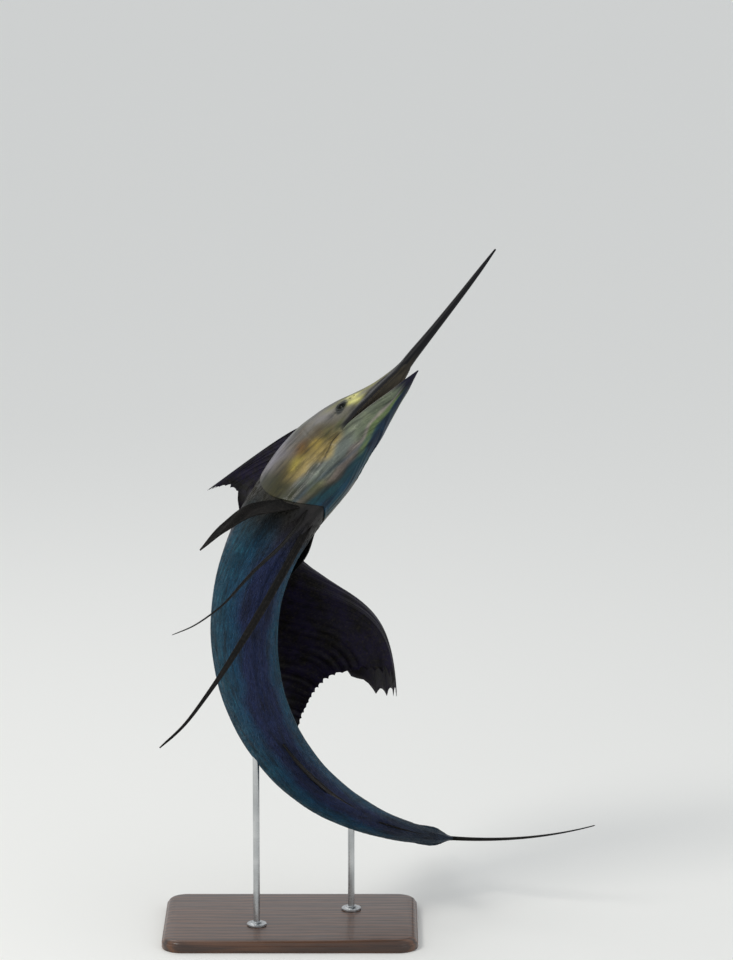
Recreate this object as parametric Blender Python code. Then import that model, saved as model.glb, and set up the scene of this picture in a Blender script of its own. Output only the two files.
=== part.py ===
"""A leaping sailfish at life size, held by two rods on a flat base.

The fish is drawn straight first: x runs from the tip of the lower jaw to the tail,
y to the fish's right and z to its back. A bent spine then carries every point to its
place. Metres, +Z up, and the origin is the middle of the base's underside.
"""

import math

import bmesh
import bpy
import numpy as np

# Driving sizes. A share is a part of the fork length, from the lower jaw to the tail's fork.
FORK_LENGTH = 1.70
GAP = 0.0003
CUT_GAP = 0.0004
HEAD_AT = (0.285, 0.045, 1.395)
SIDES = 28

# Spine: share, fall of the axis below the level, turn away from the viewer, roll (degrees),
# all measured in a frame that is pitched forward with the viewer's line of sight.
PITCH = 12
POSE = (
    (-0.22, 130, 0, 52),
    (0.20, 130, 0, 52),
    (0.27, 126, 1, 56),
    (0.33, 116, 2, 64),
    (0.40, 101, 5, 72),
    (0.50, 82, 12, 76),
    (0.62, 60, 23, 78),
    (0.78, 33, 33, 80),
    (1.12, -8, 37, 86),
)

# Body: share, rise of the back, drop of the belly, half width, all in shares.
BODY = (
    (0.000, 0.0135, 0.0025, 0.0080),
    (0.0275, 0.0200, 0.0200, 0.0115),
    (0.050, 0.0285, 0.0310, 0.0155),
    (0.080, 0.0470, 0.0400, 0.0225),
    (0.104, 0.0640, 0.0465, 0.0280),
    (0.135, 0.0815, 0.0530, 0.0335),
    (0.171, 0.0905, 0.0595, 0.0400),
    (0.200, 0.0915, 0.0620, 0.0430),
    (0.260, 0.0845, 0.0610, 0.0455),
    (0.340, 0.0780, 0.0610, 0.0470),
    (0.420, 0.0755, 0.0610, 0.0465),
    (0.550, 0.0670, 0.0570, 0.0425),
    (0.650, 0.0570, 0.0500, 0.0365),
    (0.750, 0.0450, 0.0405, 0.0290),
    (0.850, 0.0310, 0.0285, 0.0195),
    (0.920, 0.0215, 0.0200, 0.0135),
    (0.955, 0.0185, 0.0175, 0.0105),
    (0.976, 0.0190, 0.0180, 0.0050),
)

# Mouth: share, floor of the upper jaw, rim of the lower jaw, its keel and half width.
JAWS = (
    (0.000, -0.0025, -0.0255, -0.0275, 0.0012),
    (0.0245, -0.0040, -0.0250, -0.0300, 0.0085),
    (0.0515, -0.0065, -0.0230, -0.0345, 0.0145),
    (0.0755, -0.0095, -0.0205, -0.0390, 0.0205),
    (0.106, -0.0145, -0.0190, -0.0468, 0.0272),
    (0.131, -0.0195, -0.0200, -0.0520, 0.0322),
)
MOUTH_CORNER = 0.131
MOUTH_STEP = 0.0006
MOUTH_LINE_LIMIT = 0.85
PALATE_ARCH = 0.12
HEAD_OVER = 18

# Bill: share, height of its middle, radius.
BILL_TIP = -0.203
BILL_POINT = 0.003
BILL = (
    (BILL_TIP, 0.0171, 0.0014),
    (-0.170, 0.0140, 0.0031),
    (-0.120, 0.0103, 0.0044),
    (-0.060, 0.0073, 0.0058),
    (0.000, 0.0055, 0.0080),
)

GILL_EDGE = 0.229
GILL_REACH = 0.033
GILL_STEP = 0.0024
TRUNK_CUTS = (0.42, 0.61, 0.80)
STALK_END = 0.975
FULL_SECTION = 0.285
FLANK_FLATNESS = 0.06

# Keels of the tail stalk: share of their middle, half length in shares, height.
KEEL_SHARE = 0.950
KEEL_HALF_LENGTH = 0.026
KEEL_HEIGHT = 0.0055

EYE_SHARE = 0.106
EYE_HEIGHT = 0.022
EYE_RADIUS = 0.0165
EYE_PROUD = 0.0048
EYE_FACETS = (16, 10)
NOSTRIL_SHARES = (0.083, 0.088)
NOSTRIL_HEIGHT = 0.0245
NOSTRIL_RADIUS = 0.0020
NOSTRIL_FACETS = (8, 6)

BASE_SIZE = (0.62, 0.40, 0.028)
BASE_CORNER = 0.05
BASE_BEVEL = 0.004
CORNER_STEPS = 6
ROD_SHARES = (0.555, 0.80)
ROD_RADIUS = 0.008
COLLAR_RADIUS = 0.024
COLLAR_HEIGHT = 0.010
ROD_SIDES = 20

# Tail fin: half span, sweep of the lobes, depth at the fork and at the tips, in shares, and
# the half thickness of the membrane, with what a ray and the leading edge add to it.
TAIL_SPREAD = 0.192
TAIL_SWEEP = 0.128
TAIL_FORK = 0.024
TAIL_CHORD_END = 0.002
TAIL_RAYS = 5
TAIL_HALF = (0.0014, 0.0018, 0.0022)
TAIL_GAP = 0.0012

# Sail: share of a ray's foot, its length, lean back (degrees), flop to the left, droop.
SAIL = (
    (0.148, 0.194, 22, 0, 0.0),
    (0.170, 0.166, 22.5, 0, 0.0),
    (0.195, 0.134, 25.5, 3, 0.0),
    (0.220, 0.098, 31, 14, 0.0),
    (0.240, 0.086, 46, 44, 0.2),
    (0.257, 0.185, 62, 78, 1.0),
    (0.277, 0.330, 72, 92, 5.0),
    (0.302, 0.425, 82, 103, 14.0),
    (0.345, 0.410, 88, 113, 18.0),
    (0.385, 0.358, 88, 117, 10.0),
    (0.430, 0.285, 83, 116, 4.0),
    (0.500, 0.195, 72, 110, 1.4),
    (0.600, 0.130, 58, 100, 0.8),
    (0.680, 0.085, 46, 80, 0.0),
    (0.730, 0.055, 38, 60, 0.0),
)
SAIL_NODES = (
    ("dorsal_front", 0.1480, 0.2360, 6, (0.02, 0.03, 0.08)),
    ("sail_front", 0.2366, 0.3243, 6, (0.05, 0.04, 0.06)),
    ("sail_middle", 0.3250, 0.4398, 7, (0.05, 0.04, 0.06)),
    ("sail_rear", 0.4405, 0.7300, 9, (0.05, 0.04, 0.06)),
)
SAIL_ROWS = 11
SAIL_SINK = 0.006
SAIL_RISE = 0.75
SAIL_ROOT = 0.06
SAIL_ARC = 0.22
SAIL_STEP = 0.001
DROOP_POWER = 9
MEMBRANE_HALF = 0.0007
CREST_HALF = 0.0023
SCALLOP = 0.03

# Paired fins: share and angle of the pectoral root, share of the pelvic root, and each
# fin's chord, in shares, at places from its root to its tip.
PECTORAL_ROOT = (0.256, -0.72)
PECTORAL_CHORD = ((0, 0.040), (0.25, 0.048), (0.6, 0.032), (0.85, 0.016), (1, 0.004))
PELVIC_ROOT = 0.252
PELVIC_CHORD = ((0, 0.014), (0.4, 0.016), (0.6, 0.009), (0.8, 0.006), (0.92, 0.005), (1, 0.0025))

RAY_FOOT = 0.22
DOWN = np.array((0.0, 0.0, -1.0))


def smooth_curve(stations, values, x):
    """A curve through the stations that never overshoots them."""
    stations = np.asarray(stations, float)
    values = np.asarray(values, float)
    x = np.clip(x, stations[0], stations[-1])
    step = np.diff(stations)
    slope = np.diff(values) / step
    tangent = np.zeros_like(values)
    tangent[0], tangent[-1] = slope[0], slope[-1]
    for i in range(1, len(stations) - 1):
        if slope[i - 1] * slope[i] > 0:
            left = 2 * step[i] + step[i - 1]
            right = step[i] + 2 * step[i - 1]
            tangent[i] = (left + right) / (left / slope[i - 1] + right / slope[i])
    i = np.clip(np.searchsorted(stations, x) - 1, 0, len(step) - 1)
    t = (x - stations[i]) / step[i]
    return (
        (2 * t**3 - 3 * t**2 + 1) * values[i]
        + (t**3 - 2 * t**2 + t) * step[i] * tangent[i]
        + (3 * t**2 - 2 * t**3) * values[i + 1]
        + (t**3 - t**2) * step[i] * tangent[i + 1]
    )


def column(table, index, x):
    """One column of a table of stations, read at x."""
    return smooth_curve([row[0] for row in table], [row[index] for row in table], x)


def unit(vectors):
    """Vectors of length one."""
    return vectors / np.maximum(np.linalg.norm(vectors, axis=-1, keepdims=True), 1e-12)


def pitched(vectors):
    """Vectors turned from the pitched frame to the level one."""
    cosine, sine = math.cos(math.radians(PITCH)), math.sin(math.radians(PITCH))
    y = vectors[:, 1] * cosine + vectors[:, 2] * sine
    z = vectors[:, 2] * cosine - vectors[:, 1] * sine
    return np.stack([vectors[:, 0], y, z], 1)


def make_spine(steps=1340):
    """The bent axis: shares, points, and its tailward, back and right directions."""
    share = np.linspace(POSE[0][0], POSE[-1][0], steps + 1)
    fall = np.radians(column(POSE, 1, share))
    away = np.radians(column(POSE, 2, share))
    roll = np.radians(column(POSE, 3, share))[:, None]
    tail = np.stack(
        [np.cos(away) * np.cos(fall), np.sin(away), -np.cos(away) * np.sin(fall)], 1
    )
    level = np.stack([-np.sin(fall), np.zeros_like(fall), -np.cos(fall)], 1)
    back = np.cos(roll) * level + np.sin(roll) * np.cross(tail, level)
    tail, back = pitched(tail), pitched(back)
    point = np.zeros((steps + 1, 3))
    stride = (share[1] - share[0]) * FORK_LENGTH
    point[1:] = np.cumsum((tail[1:] + tail[:-1]) / 2 * stride, 0)
    point -= point[int(np.argmin(abs(share)))]
    return share, point + np.array(HEAD_AT), tail, back, np.cross(back, tail)


SPINE = make_spine()


def spine_at(x):
    """Point, tailward, back and right directions of the axis at distances x."""
    share = np.asarray(x, float) / FORK_LENGTH
    read = [
        np.stack([np.interp(share, SPINE[0], part[:, k]) for k in range(3)], -1)
        for part in SPINE[1:]
    ]
    return [read[0]] + [unit(part) for part in read[1:]]


def to_world(points):
    """Carry straight points to the bent fish."""
    points = np.asarray(points, float)
    at, _, back, right = spine_at(points[..., 0])
    return at + right * points[..., 1:2] + back * points[..., 2:3]


def section(share, angle, grow=0.0):
    """Point of the body's side at a share and an angle from the fish's right."""
    width = column(BODY, 3, share) * FORK_LENGTH + grow
    rise = column(BODY, 1, share) * FORK_LENGTH + grow
    drop = column(BODY, 2, share) * FORK_LENGTH + grow
    sine = np.sin(angle)
    y = width * np.cos(angle) * (1 - FLANK_FLATNESS * sine**2)
    z = np.where(sine > 0, rise, drop) * sine
    return np.stack([share * FORK_LENGTH + 0 * y, y, z + 0 * y], -1)


def new_object(name, points, faces, colour, roughness=0.45, metallic=0.0):
    """A closed mesh object with its own material and faces that point out."""
    mesh = bpy.data.meshes.new(name)
    mesh.from_pydata([tuple(map(float, p)) for p in points], [], faces)
    obj = bpy.data.objects.new(name, mesh)
    bpy.context.scene.collection.objects.link(obj)
    shape = bmesh.new()
    shape.from_mesh(mesh)
    bmesh.ops.recalc_face_normals(shape, faces=shape.faces)
    if shape.calc_volume(signed=True) < 0:
        bmesh.ops.reverse_faces(shape, faces=shape.faces)
    shape.to_mesh(mesh)
    shape.free()
    material = bpy.data.materials.new(name)
    material.use_nodes = True
    shader = material.node_tree.nodes["Principled BSDF"]
    shader.inputs["Base Color"].default_value = (*colour, 1.0)
    shader.inputs["Roughness"].default_value = roughness
    shader.inputs["Metallic"].default_value = metallic
    mesh.materials.append(material)
    mesh.shade_smooth()
    mesh.set_sharp_from_angle(angle=math.radians(50))
    return obj


def loft(rings, front, rear):
    """Points and faces of a tube of rings, closed to a middle point at each end."""
    count = len(rings[0])
    points = [p for ring in rings for p in ring] + [front, rear]
    faces = []
    for i in range(len(rings) - 1):
        for k in range(count):
            n = (k + 1) % count
            faces.append((i * count + k, i * count + n, (i + 1) * count + n, (i + 1) * count + k))
    last = (len(rings) - 1) * count
    for k in range(count):
        n = (k + 1) % count
        faces.append((len(points) - 2, n, k))
        faces.append((len(points) - 1, last + k, last + n))
    return np.array(points), faces


def sheet(centre, half, across=None):
    """Points and triangles of a thin sheet: a grid of middle points, half as thick each way."""
    if across is None:
        across = np.gradient(centre, axis=1)
    normal = unit(np.cross(across, np.gradient(centre, axis=0)))
    rows, cols = half.shape
    points = np.concatenate(
        [(centre + normal * half[..., None]).reshape(-1, 3),
         (centre - normal * half[..., None]).reshape(-1, 3)]
    )
    under = rows * cols
    faces = []
    for i in range(rows - 1):
        for k in range(cols - 1):
            a, b = i * cols + k, i * cols + k + 1
            c, d = (i + 1) * cols + k + 1, (i + 1) * cols + k
            faces += [(a, b, c), (a, c, d), (under + c, under + b, under + a),
                      (under + d, under + c, under + a)]
    rim = [k for k in range(cols)] + [i * cols + cols - 1 for i in range(1, rows)]
    rim += [(rows - 1) * cols + k for k in range(cols - 2, -1, -1)]
    rim += [i * cols for i in range(rows - 2, 0, -1)]
    for a, b in zip(rim, rim[1:] + rim[:1]):
        faces += [(a, under + a, under + b), (a, under + b, b)]
    return points, faces


def keep_largest(obj):
    """Leave only the closed surface that holds the most."""
    shape = bmesh.new()
    shape.from_mesh(obj.data)
    bmesh.ops.remove_doubles(shape, verts=shape.verts, dist=1e-6)
    left = set(shape.faces)
    groups = []
    while left:
        group = {left.pop()}
        edge = list(group)
        while edge:
            face = edge.pop()
            for side in face.edges:
                for other in side.link_faces:
                    if other in left:
                        left.remove(other)
                        group.add(other)
                        edge.append(other)
        groups.append(group)
    sizes = [sum(face.calc_area() for face in group) for group in groups]
    keep = groups[int(np.argmax(sizes))]
    drop = [face for group in groups if group is not keep for face in group]
    bmesh.ops.delete(shape, geom=drop, context="FACES")
    shape.to_mesh(obj.data)
    shape.free()


def cut(obj, cutters):
    """Take closed cutters out of an object and remove them."""
    group = bpy.data.collections.new("cutters")
    bpy.context.scene.collection.children.link(group)
    for cutter in cutters:
        group.objects.link(cutter)
    modifier = obj.modifiers.new("cut", "BOOLEAN")
    modifier.operation = "DIFFERENCE"
    modifier.operand_type = "COLLECTION"
    modifier.collection = group
    modifier.solver = "EXACT"
    graph = bpy.context.evaluated_depsgraph_get()
    mesh = bpy.data.meshes.new_from_object(obj.evaluated_get(graph))
    obj.modifiers.clear()
    obj.data = mesh
    for cutter in list(group.objects):
        bpy.data.objects.remove(cutter)
    bpy.data.collections.remove(group)
    keep_largest(obj)


def ring_angles():
    """Angles of a ring's points, from the fish's right over its back."""
    return np.arange(SIDES) * 2 * math.pi / SIDES


def keel(share, angle):
    """Height of the two small keels on each side of the tail stalk."""
    swell = np.clip(1 - ((share - KEEL_SHARE) / KEEL_HALF_LENGTH) ** 2, 0, None)
    turn = 2 * math.pi / SIDES
    fold = np.minimum.reduce([abs(np.cos(angle) - np.cos(turn)), abs(np.cos(angle) + np.cos(turn))])
    return KEEL_HEIGHT * swell * (fold < 0.01)


def body_rings(first, last, count, grow=0.0):
    """Rings of the body between two shares."""
    angle = ring_angles()
    rings = []
    for share in np.linspace(first, last, count):
        ring = section(share, angle, grow)
        ring[:, 1] += np.sign(np.cos(angle)) * keel(share, angle)
        rings.append(ring)
    return rings


def gill_share(angle):
    """Share of the gill cover's rear edge at an angle of the section."""
    return GILL_EDGE + GILL_REACH * np.abs(np.cos(angle)) ** 1.3


def build_bill():
    """The long round bill, up to the tip of the lower jaw."""
    angle = ring_angles()[::2]
    rings = []
    for share in BILL_TIP * np.linspace(1, 0, 15) ** 1.2:
        radius = column(BILL, 2, share) * FORK_LENGTH
        middle = column(BILL, 1, share) * FORK_LENGTH
        x = np.full_like(angle, share * FORK_LENGTH - GAP)
        rings.append(np.stack([x, radius * np.cos(angle), middle + radius * np.sin(angle)], 1))
    ends = [(ring[0][0], 0, ring[:, 2].mean()) for ring in (rings[0], rings[-1])]
    points, faces = loft(rings, (ends[0][0] - BILL_POINT, 0, ends[0][2]), ends[1])
    return new_object("bill", to_world(points), faces, (0.03, 0.035, 0.03))


def head_angles(share):
    """Angles of the head's ring: evenly over the back to the mouth's line, then below it."""
    floor = -column(JAWS, 1, share) / column(BODY, 2, share)
    line = math.asin(min(float(floor), MOUTH_LINE_LIMIT))
    index = np.arange(SIDES)
    over = -line + (math.pi + 2 * line) * index / HEAD_OVER
    under = math.pi + line + (math.pi - 2 * line) * (index - HEAD_OVER) / (SIDES - HEAD_OVER)
    return np.where(index <= HEAD_OVER, over, under)


def upper_jaw_ring(share):
    """The head above the mouth's line, with a gently arched floor."""
    ring = section(share, head_angles(share))
    floor = column(JAWS, 1, share) * FORK_LENGTH
    place = (np.arange(HEAD_OVER, SIDES) - HEAD_OVER) / (SIDES - HEAD_OVER)
    width = ring[0, 1]
    ring[HEAD_OVER:, 1] = width * (2 * place - 1)
    ring[HEAD_OVER:, 2] = floor + PALATE_ARCH * width * 4 * place * (1 - place)
    ring[0, 2] = floor
    return ring


def build_head():
    """The head with the upper jaw, eye sockets, nostrils and the gill covers' edge."""
    rings = [upper_jaw_ring(share) for share in np.linspace(0, MOUTH_CORNER, 12)]
    start = MOUTH_CORNER + MOUTH_STEP
    mouth = head_angles(MOUTH_CORNER)
    even = (np.arange(SIDES) - (HEAD_OVER - SIDES / 2) / 2) * 2 * math.pi / SIDES
    reach = gill_share(even)
    for part in np.linspace(0, 1, 9):
        share = start + (reach - start) * part
        rings.append(section(share, mouth + (even - mouth) * part))
    middle = (GILL_EDGE + GILL_REACH / 2) * FORK_LENGTH
    points, faces = loft(rings, (0, 0, 0.0055 * FORK_LENGTH), (middle, 0, 0))
    head = new_object("head", to_world(points), faces, (0.20, 0.19, 0.11))
    cutters = []
    for side in (1, -1):
        cutters.append(ball("socket", eye_centre(side), EYE_RADIUS + CUT_GAP, *EYE_FACETS))
        for share in NOSTRIL_SHARES:
            at = side_point(share, NOSTRIL_HEIGHT, side)
            cutters.append(ball("nostril", to_world(at), NOSTRIL_RADIUS, *NOSTRIL_FACETS))
    cut(head, cutters)
    return head


def side_point(share, height, side, sink=0.0):
    """Straight point of the head's side at a height in shares."""
    rise = column(BODY, 1, share)
    width = column(BODY, 3, share) * FORK_LENGTH
    y = width * math.sqrt(max(0.0, 1 - (height / rise) ** 2)) - sink
    return np.array((share * FORK_LENGTH, side * y, height * FORK_LENGTH))


def eye_centre(side):
    """World point of an eye's middle."""
    return to_world(side_point(EYE_SHARE, EYE_HEIGHT, side, EYE_RADIUS - EYE_PROUD))


def ball(name, centre, radius, around, rings):
    """A closed ball in world coordinates."""
    turn = np.arange(around) * 2 * math.pi / around
    rows = []
    for lift in np.linspace(0, math.pi, rings + 1)[1:-1]:
        ring = np.stack([np.sin(lift) * np.cos(turn), np.sin(lift) * np.sin(turn),
                         np.full_like(turn, np.cos(lift))], 1)
        rows.append(np.asarray(centre) + radius * ring)
    top = np.asarray(centre) + np.array((0, 0, radius))
    points, faces = loft(rows, top, np.asarray(centre) - np.array((0, 0, radius)))
    return new_object(name, points, faces, (0.5, 0.5, 0.4))


def build_eyes():
    """Both eyes, balls that sit in their sockets."""
    for name, side in (("eye_right", 1), ("eye_left", -1)):
        ball(name, eye_centre(side), EYE_RADIUS, *EYE_FACETS)


def build_lower_jaw():
    """The lower jaw, slightly open, with its rim and keel."""
    turn = np.linspace(math.pi, 2 * math.pi, 15)
    rings = []
    for share in np.linspace(0, MOUTH_CORNER, 12):
        rim = column(JAWS, 2, share) * FORK_LENGTH
        bottom = column(JAWS, 3, share) * FORK_LENGTH
        width = column(JAWS, 4, share) * FORK_LENGTH
        under = np.stack([width * np.cos(turn), rim + (rim - bottom) * np.sin(turn)], 1)
        across = np.linspace(1, -1, 7)[1:-1]
        hollow = 0.35 * width * (1 - across**2) * min(1.0, (rim - bottom) / (0.5 * width))
        upper = np.stack([width * across, rim - 0.45 * hollow], 1)
        ring = np.concatenate([under, upper])
        x = np.full(len(ring), share * FORK_LENGTH - (GAP if share == MOUTH_CORNER else 0))
        rings.append(np.concatenate([x[:, None], ring], 1))
    ends = [ring.mean(0) for ring in (rings[0], rings[-1])]
    ends[0][0] -= 0.004
    points, faces = loft(rings, ends[0], ends[1])
    return new_object("lower_jaw", to_world(points), faces, (0.16, 0.18, 0.14))


def build_trunk():
    """The body behind the gill covers, in three lengths and the tail stalk."""
    angle = ring_angles()
    middle = (GILL_EDGE + GILL_REACH / 2) * FORK_LENGTH
    reach = gill_share(angle)
    outer = section(reach, angle)
    inner = section(reach, angle, -GILL_STEP)
    shrink = np.linalg.norm(inner[:, 1:], axis=1) / np.linalg.norm(outer[:, 1:], axis=1)
    inner[:, 0] = middle + (outer[:, 0] - middle) * shrink + GAP
    rings = [inner]
    for part in np.linspace(0, 1, 12)[1:]:
        share = reach + (TRUNK_CUTS[0] - reach) * part
        blend = np.clip((share - reach) / (FULL_SECTION - reach), 0, 1)
        ring = section(share, angle)
        lower = section(share, angle, -GILL_STEP)
        rings.append(lower + (ring - lower) * blend[:, None])
    rings[-1][:, 0] -= GAP / 2
    points, faces = loft(rings, (middle + GAP, 0, 0), (rings[-1][0][0], 0, 0))
    new_object("trunk_front", to_world(points), faces, (0.08, 0.11, 0.13))

    spans = (
        ("trunk_middle", TRUNK_CUTS[0], TRUNK_CUTS[1], 9, (0.06, 0.10, 0.13)),
        ("trunk_rear", TRUNK_CUTS[1], TRUNK_CUTS[2], 9, (0.06, 0.10, 0.14)),
        ("tail_stalk", TRUNK_CUTS[2], STALK_END, 12, (0.06, 0.09, 0.13)),
    )
    for name, first, last, count, colour in spans:
        rings = body_rings(first, last, count)
        rings[0][:, 0] += GAP / 2
        rings[-1][:, 0] -= GAP / 2
        ends = [(ring[0][0], 0, 0) for ring in (rings[0], rings[-1])]
        points, faces = loft(rings, ends[0], ends[1])
        new_object(name, to_world(points), faces, colour)


def body_cutter():
    """The whole body grown by the gap, to trim what meets it."""
    rings = body_rings(0.14, STALK_END, 60, CUT_GAP)
    rings[-1][:, 0] += CUT_GAP
    ends = [(ring[0][0], 0, 0) for ring in (rings[0], rings[-1])]
    points, faces = loft(rings, ends[0], ends[1])
    return new_object("trim", to_world(points), faces, (0.5, 0.5, 0.5))


def ray_columns(rays):
    """Places across a fin for its rays: each has two feet and a crest. Returns place, crest."""
    places, crests = [0.0], [0.6]
    for ray in range(rays):
        middle = (ray + 0.5) / rays
        places += [middle - RAY_FOOT / rays, middle, middle + RAY_FOOT / rays]
        crests += [0.0, 1.0, 0.0]
    return np.array(places + [1.0]), np.array(crests + [0.6])


def flat_fin(name, rays, rows, lead, trail, thick, colour):
    """A fin in the fish's middle plane.

    lead and trail are (place, x, z) stations of the front and the rear edge, in shares,
    and thick the half thickness of the membrane and of a ray's crest at the root.
    """
    places, crests = ray_columns(rays)
    place = np.linspace(0, 1, rows)[:, None]
    front = np.concatenate([column(lead, 1, place), 0 * place, column(lead, 2, place)], 1)
    rear = np.concatenate([column(trail, 1, place), 0 * place, column(trail, 2, place)], 1)
    centre = front[:, None] + (rear - front)[:, None] * places[None, :, None]
    half = (thick[0] + (thick[1] - thick[0]) * crests) * (1 - 0.75 * place)
    points, faces = sheet(to_world(centre * FORK_LENGTH), np.maximum(half, 0.0003))
    cut(new_object(name, points, faces, colour), [body_cutter()])


def build_median_fins():
    """The second dorsal, both anal fins and the tail fin."""
    dark = (0.03, 0.04, 0.06)
    thin, strong = (0.0010, 0.0022), (0.0012, 0.0026)
    flat_fin(
        "dorsal_rear", 5, 6,
        ((0, 0.838, 0.026), (0.5, 0.862, 0.052), (1, 0.892, 0.066)),
        ((0, 0.885, 0.020), (0.5, 0.897, 0.038), (1, 0.915, 0.048)), thin, dark)
    flat_fin(
        "anal_rear", 5, 6,
        ((0, 0.828, -0.026), (0.5, 0.852, -0.052), (1, 0.882, -0.066)),
        ((0, 0.876, -0.020), (0.5, 0.888, -0.038), (1, 0.905, -0.048)), thin, dark)
    flat_fin(
        "anal_front", 7, 8,
        ((0, 0.600, -0.040), (0.35, 0.634, -0.082), (0.7, 0.668, -0.118), (1, 0.706, -0.142)),
        ((0, 0.722, -0.034), (0.35, 0.712, -0.062), (0.7, 0.711, -0.095), (1, 0.715, -0.139)),
        strong, dark)
    build_tail_fin(dark)


def build_tail_fin(colour):
    """The two long lobes of the tail fin, each a closed body with rays raised in it."""
    places, crests = ray_columns(TAIL_RAYS)
    reach = np.linspace(0, 1, 10)[:, None]
    chord = TAIL_FORK + (TAIL_CHORD_END - TAIL_FORK) * reach**1.15
    x = STALK_END + TAIL_GAP + TAIL_SWEEP * reach**1.35 + chord * places
    z = TAIL_SPREAD * reach**1.05 * (1 - 0.06 * places * (1 - reach)) + GAP / FORK_LENGTH
    half = (TAIL_HALF[0] + TAIL_HALF[1] * crests + TAIL_HALF[2] * (1 - places)) * (1 - 0.7 * reach)
    for name, side in (("tail_fin_upper", 1), ("tail_fin_lower", -1)):
        centre = np.stack([x, 0 * x, side * z], -1) * FORK_LENGTH
        points, faces = sheet(to_world(centre), half)
        cut(new_object(name, points, faces, colour), [body_cutter()])


def sail_ray(share, reach, rows):
    """World points of one sail ray from the back outwards, cut to a part of its length."""
    length = column(SAIL, 1, share) * FORK_LENGTH + SAIL_SINK
    lean = math.radians(float(column(SAIL, 2, share)))
    flop = math.radians(float(column(SAIL, 3, share)))
    droop = float(column(SAIL, 4, share))
    at, tail, back, right = [part[0] for part in spine_at(np.array([share * FORK_LENGTH]))]
    foot = at + back * (column(BODY, 1, share) * FORK_LENGTH - SAIL_SINK)
    steps = 60
    place = ((np.arange(steps) + 0.5) / steps)[:, None] * length
    lean = lean + SAIL_RISE * (1 - lean * 2 / math.pi) * np.exp(-place / SAIL_ROOT)
    turn = flop * np.clip(place / SAIL_ARC, 0, 1)
    aim = (
        tail * np.cos(lean)
        + np.sin(lean) * (back * np.cos(turn) - right * np.sin(turn))
        + DOWN * droop * (place / length) ** DROOP_POWER
    )
    path = foot + np.concatenate([np.zeros((1, 3)), np.cumsum(unit(aim) * (length / steps), 0)])
    spots = np.linspace(0, 1, rows) ** 0.9 * steps * reach
    return np.stack([np.interp(spots, np.arange(steps + 1), path[:, k]) for k in range(3)], 1)


def build_sail():
    """The sail: its front stands, the rest flops over the far side and droops."""
    for name, first, last, rays, colour in SAIL_NODES:
        places, crests = ray_columns(rays)
        shares = first + (last - first) * places
        reach = 1 - SCALLOP * (1 - crests)
        before, centre, after = [
            np.stack([sail_ray(s + shift, r, SAIL_ROWS) for s, r in zip(shares, reach)], 1)
            for shift in (-SAIL_STEP, 0.0, SAIL_STEP)]
        taper = 1 - 0.6 * np.linspace(0, 1, SAIL_ROWS)[:, None]
        half = (MEMBRANE_HALF + (CREST_HALF - MEMBRANE_HALF) * crests) * taper
        points, faces = sheet(centre, half, after - before)
        cut(new_object(name, points, faces, colour), [body_cutter()])


def blade(name, path, chord, flat, rays, rows, thick, colour):
    """A paired fin: a blade along a path in world points, spread to both sides of it."""
    steps = np.linspace(0, 1, len(path))
    place = np.linspace(0, 1, rows)
    middle = np.stack([smooth_curve(steps, [p[k] for p in path], place) for k in range(3)], 1)
    aim = unit(np.gradient(middle, axis=0))
    across = unit(flat - (aim @ flat)[:, None] * aim)
    places, crests = ray_columns(rays)
    width = column(chord, 1, place)[:, None]
    centre = middle[:, None] + across[:, None] * (width * (places - 0.5))[..., None]
    slim = np.minimum(1.0, width / 0.012)
    half = (thick[0] + (thick[1] - thick[0]) * crests * slim) * (1 - 0.7 * place[:, None])
    points, faces = sheet(centre, np.maximum(half, 0.0006))
    cut(new_object(name, points, faces, colour), [body_cutter()])


def local_path(share, foot, offsets):
    """World points of offsets along the tail, right and back directions at a share."""
    at, tail, back, right = [part[0] for part in spine_at(np.array([share * FORK_LENGTH]))]
    start = at + right * foot[0] + back * foot[1]
    return [start + FORK_LENGTH * (tail * a + right * b + back * c) for a, b, c in offsets]


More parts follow.
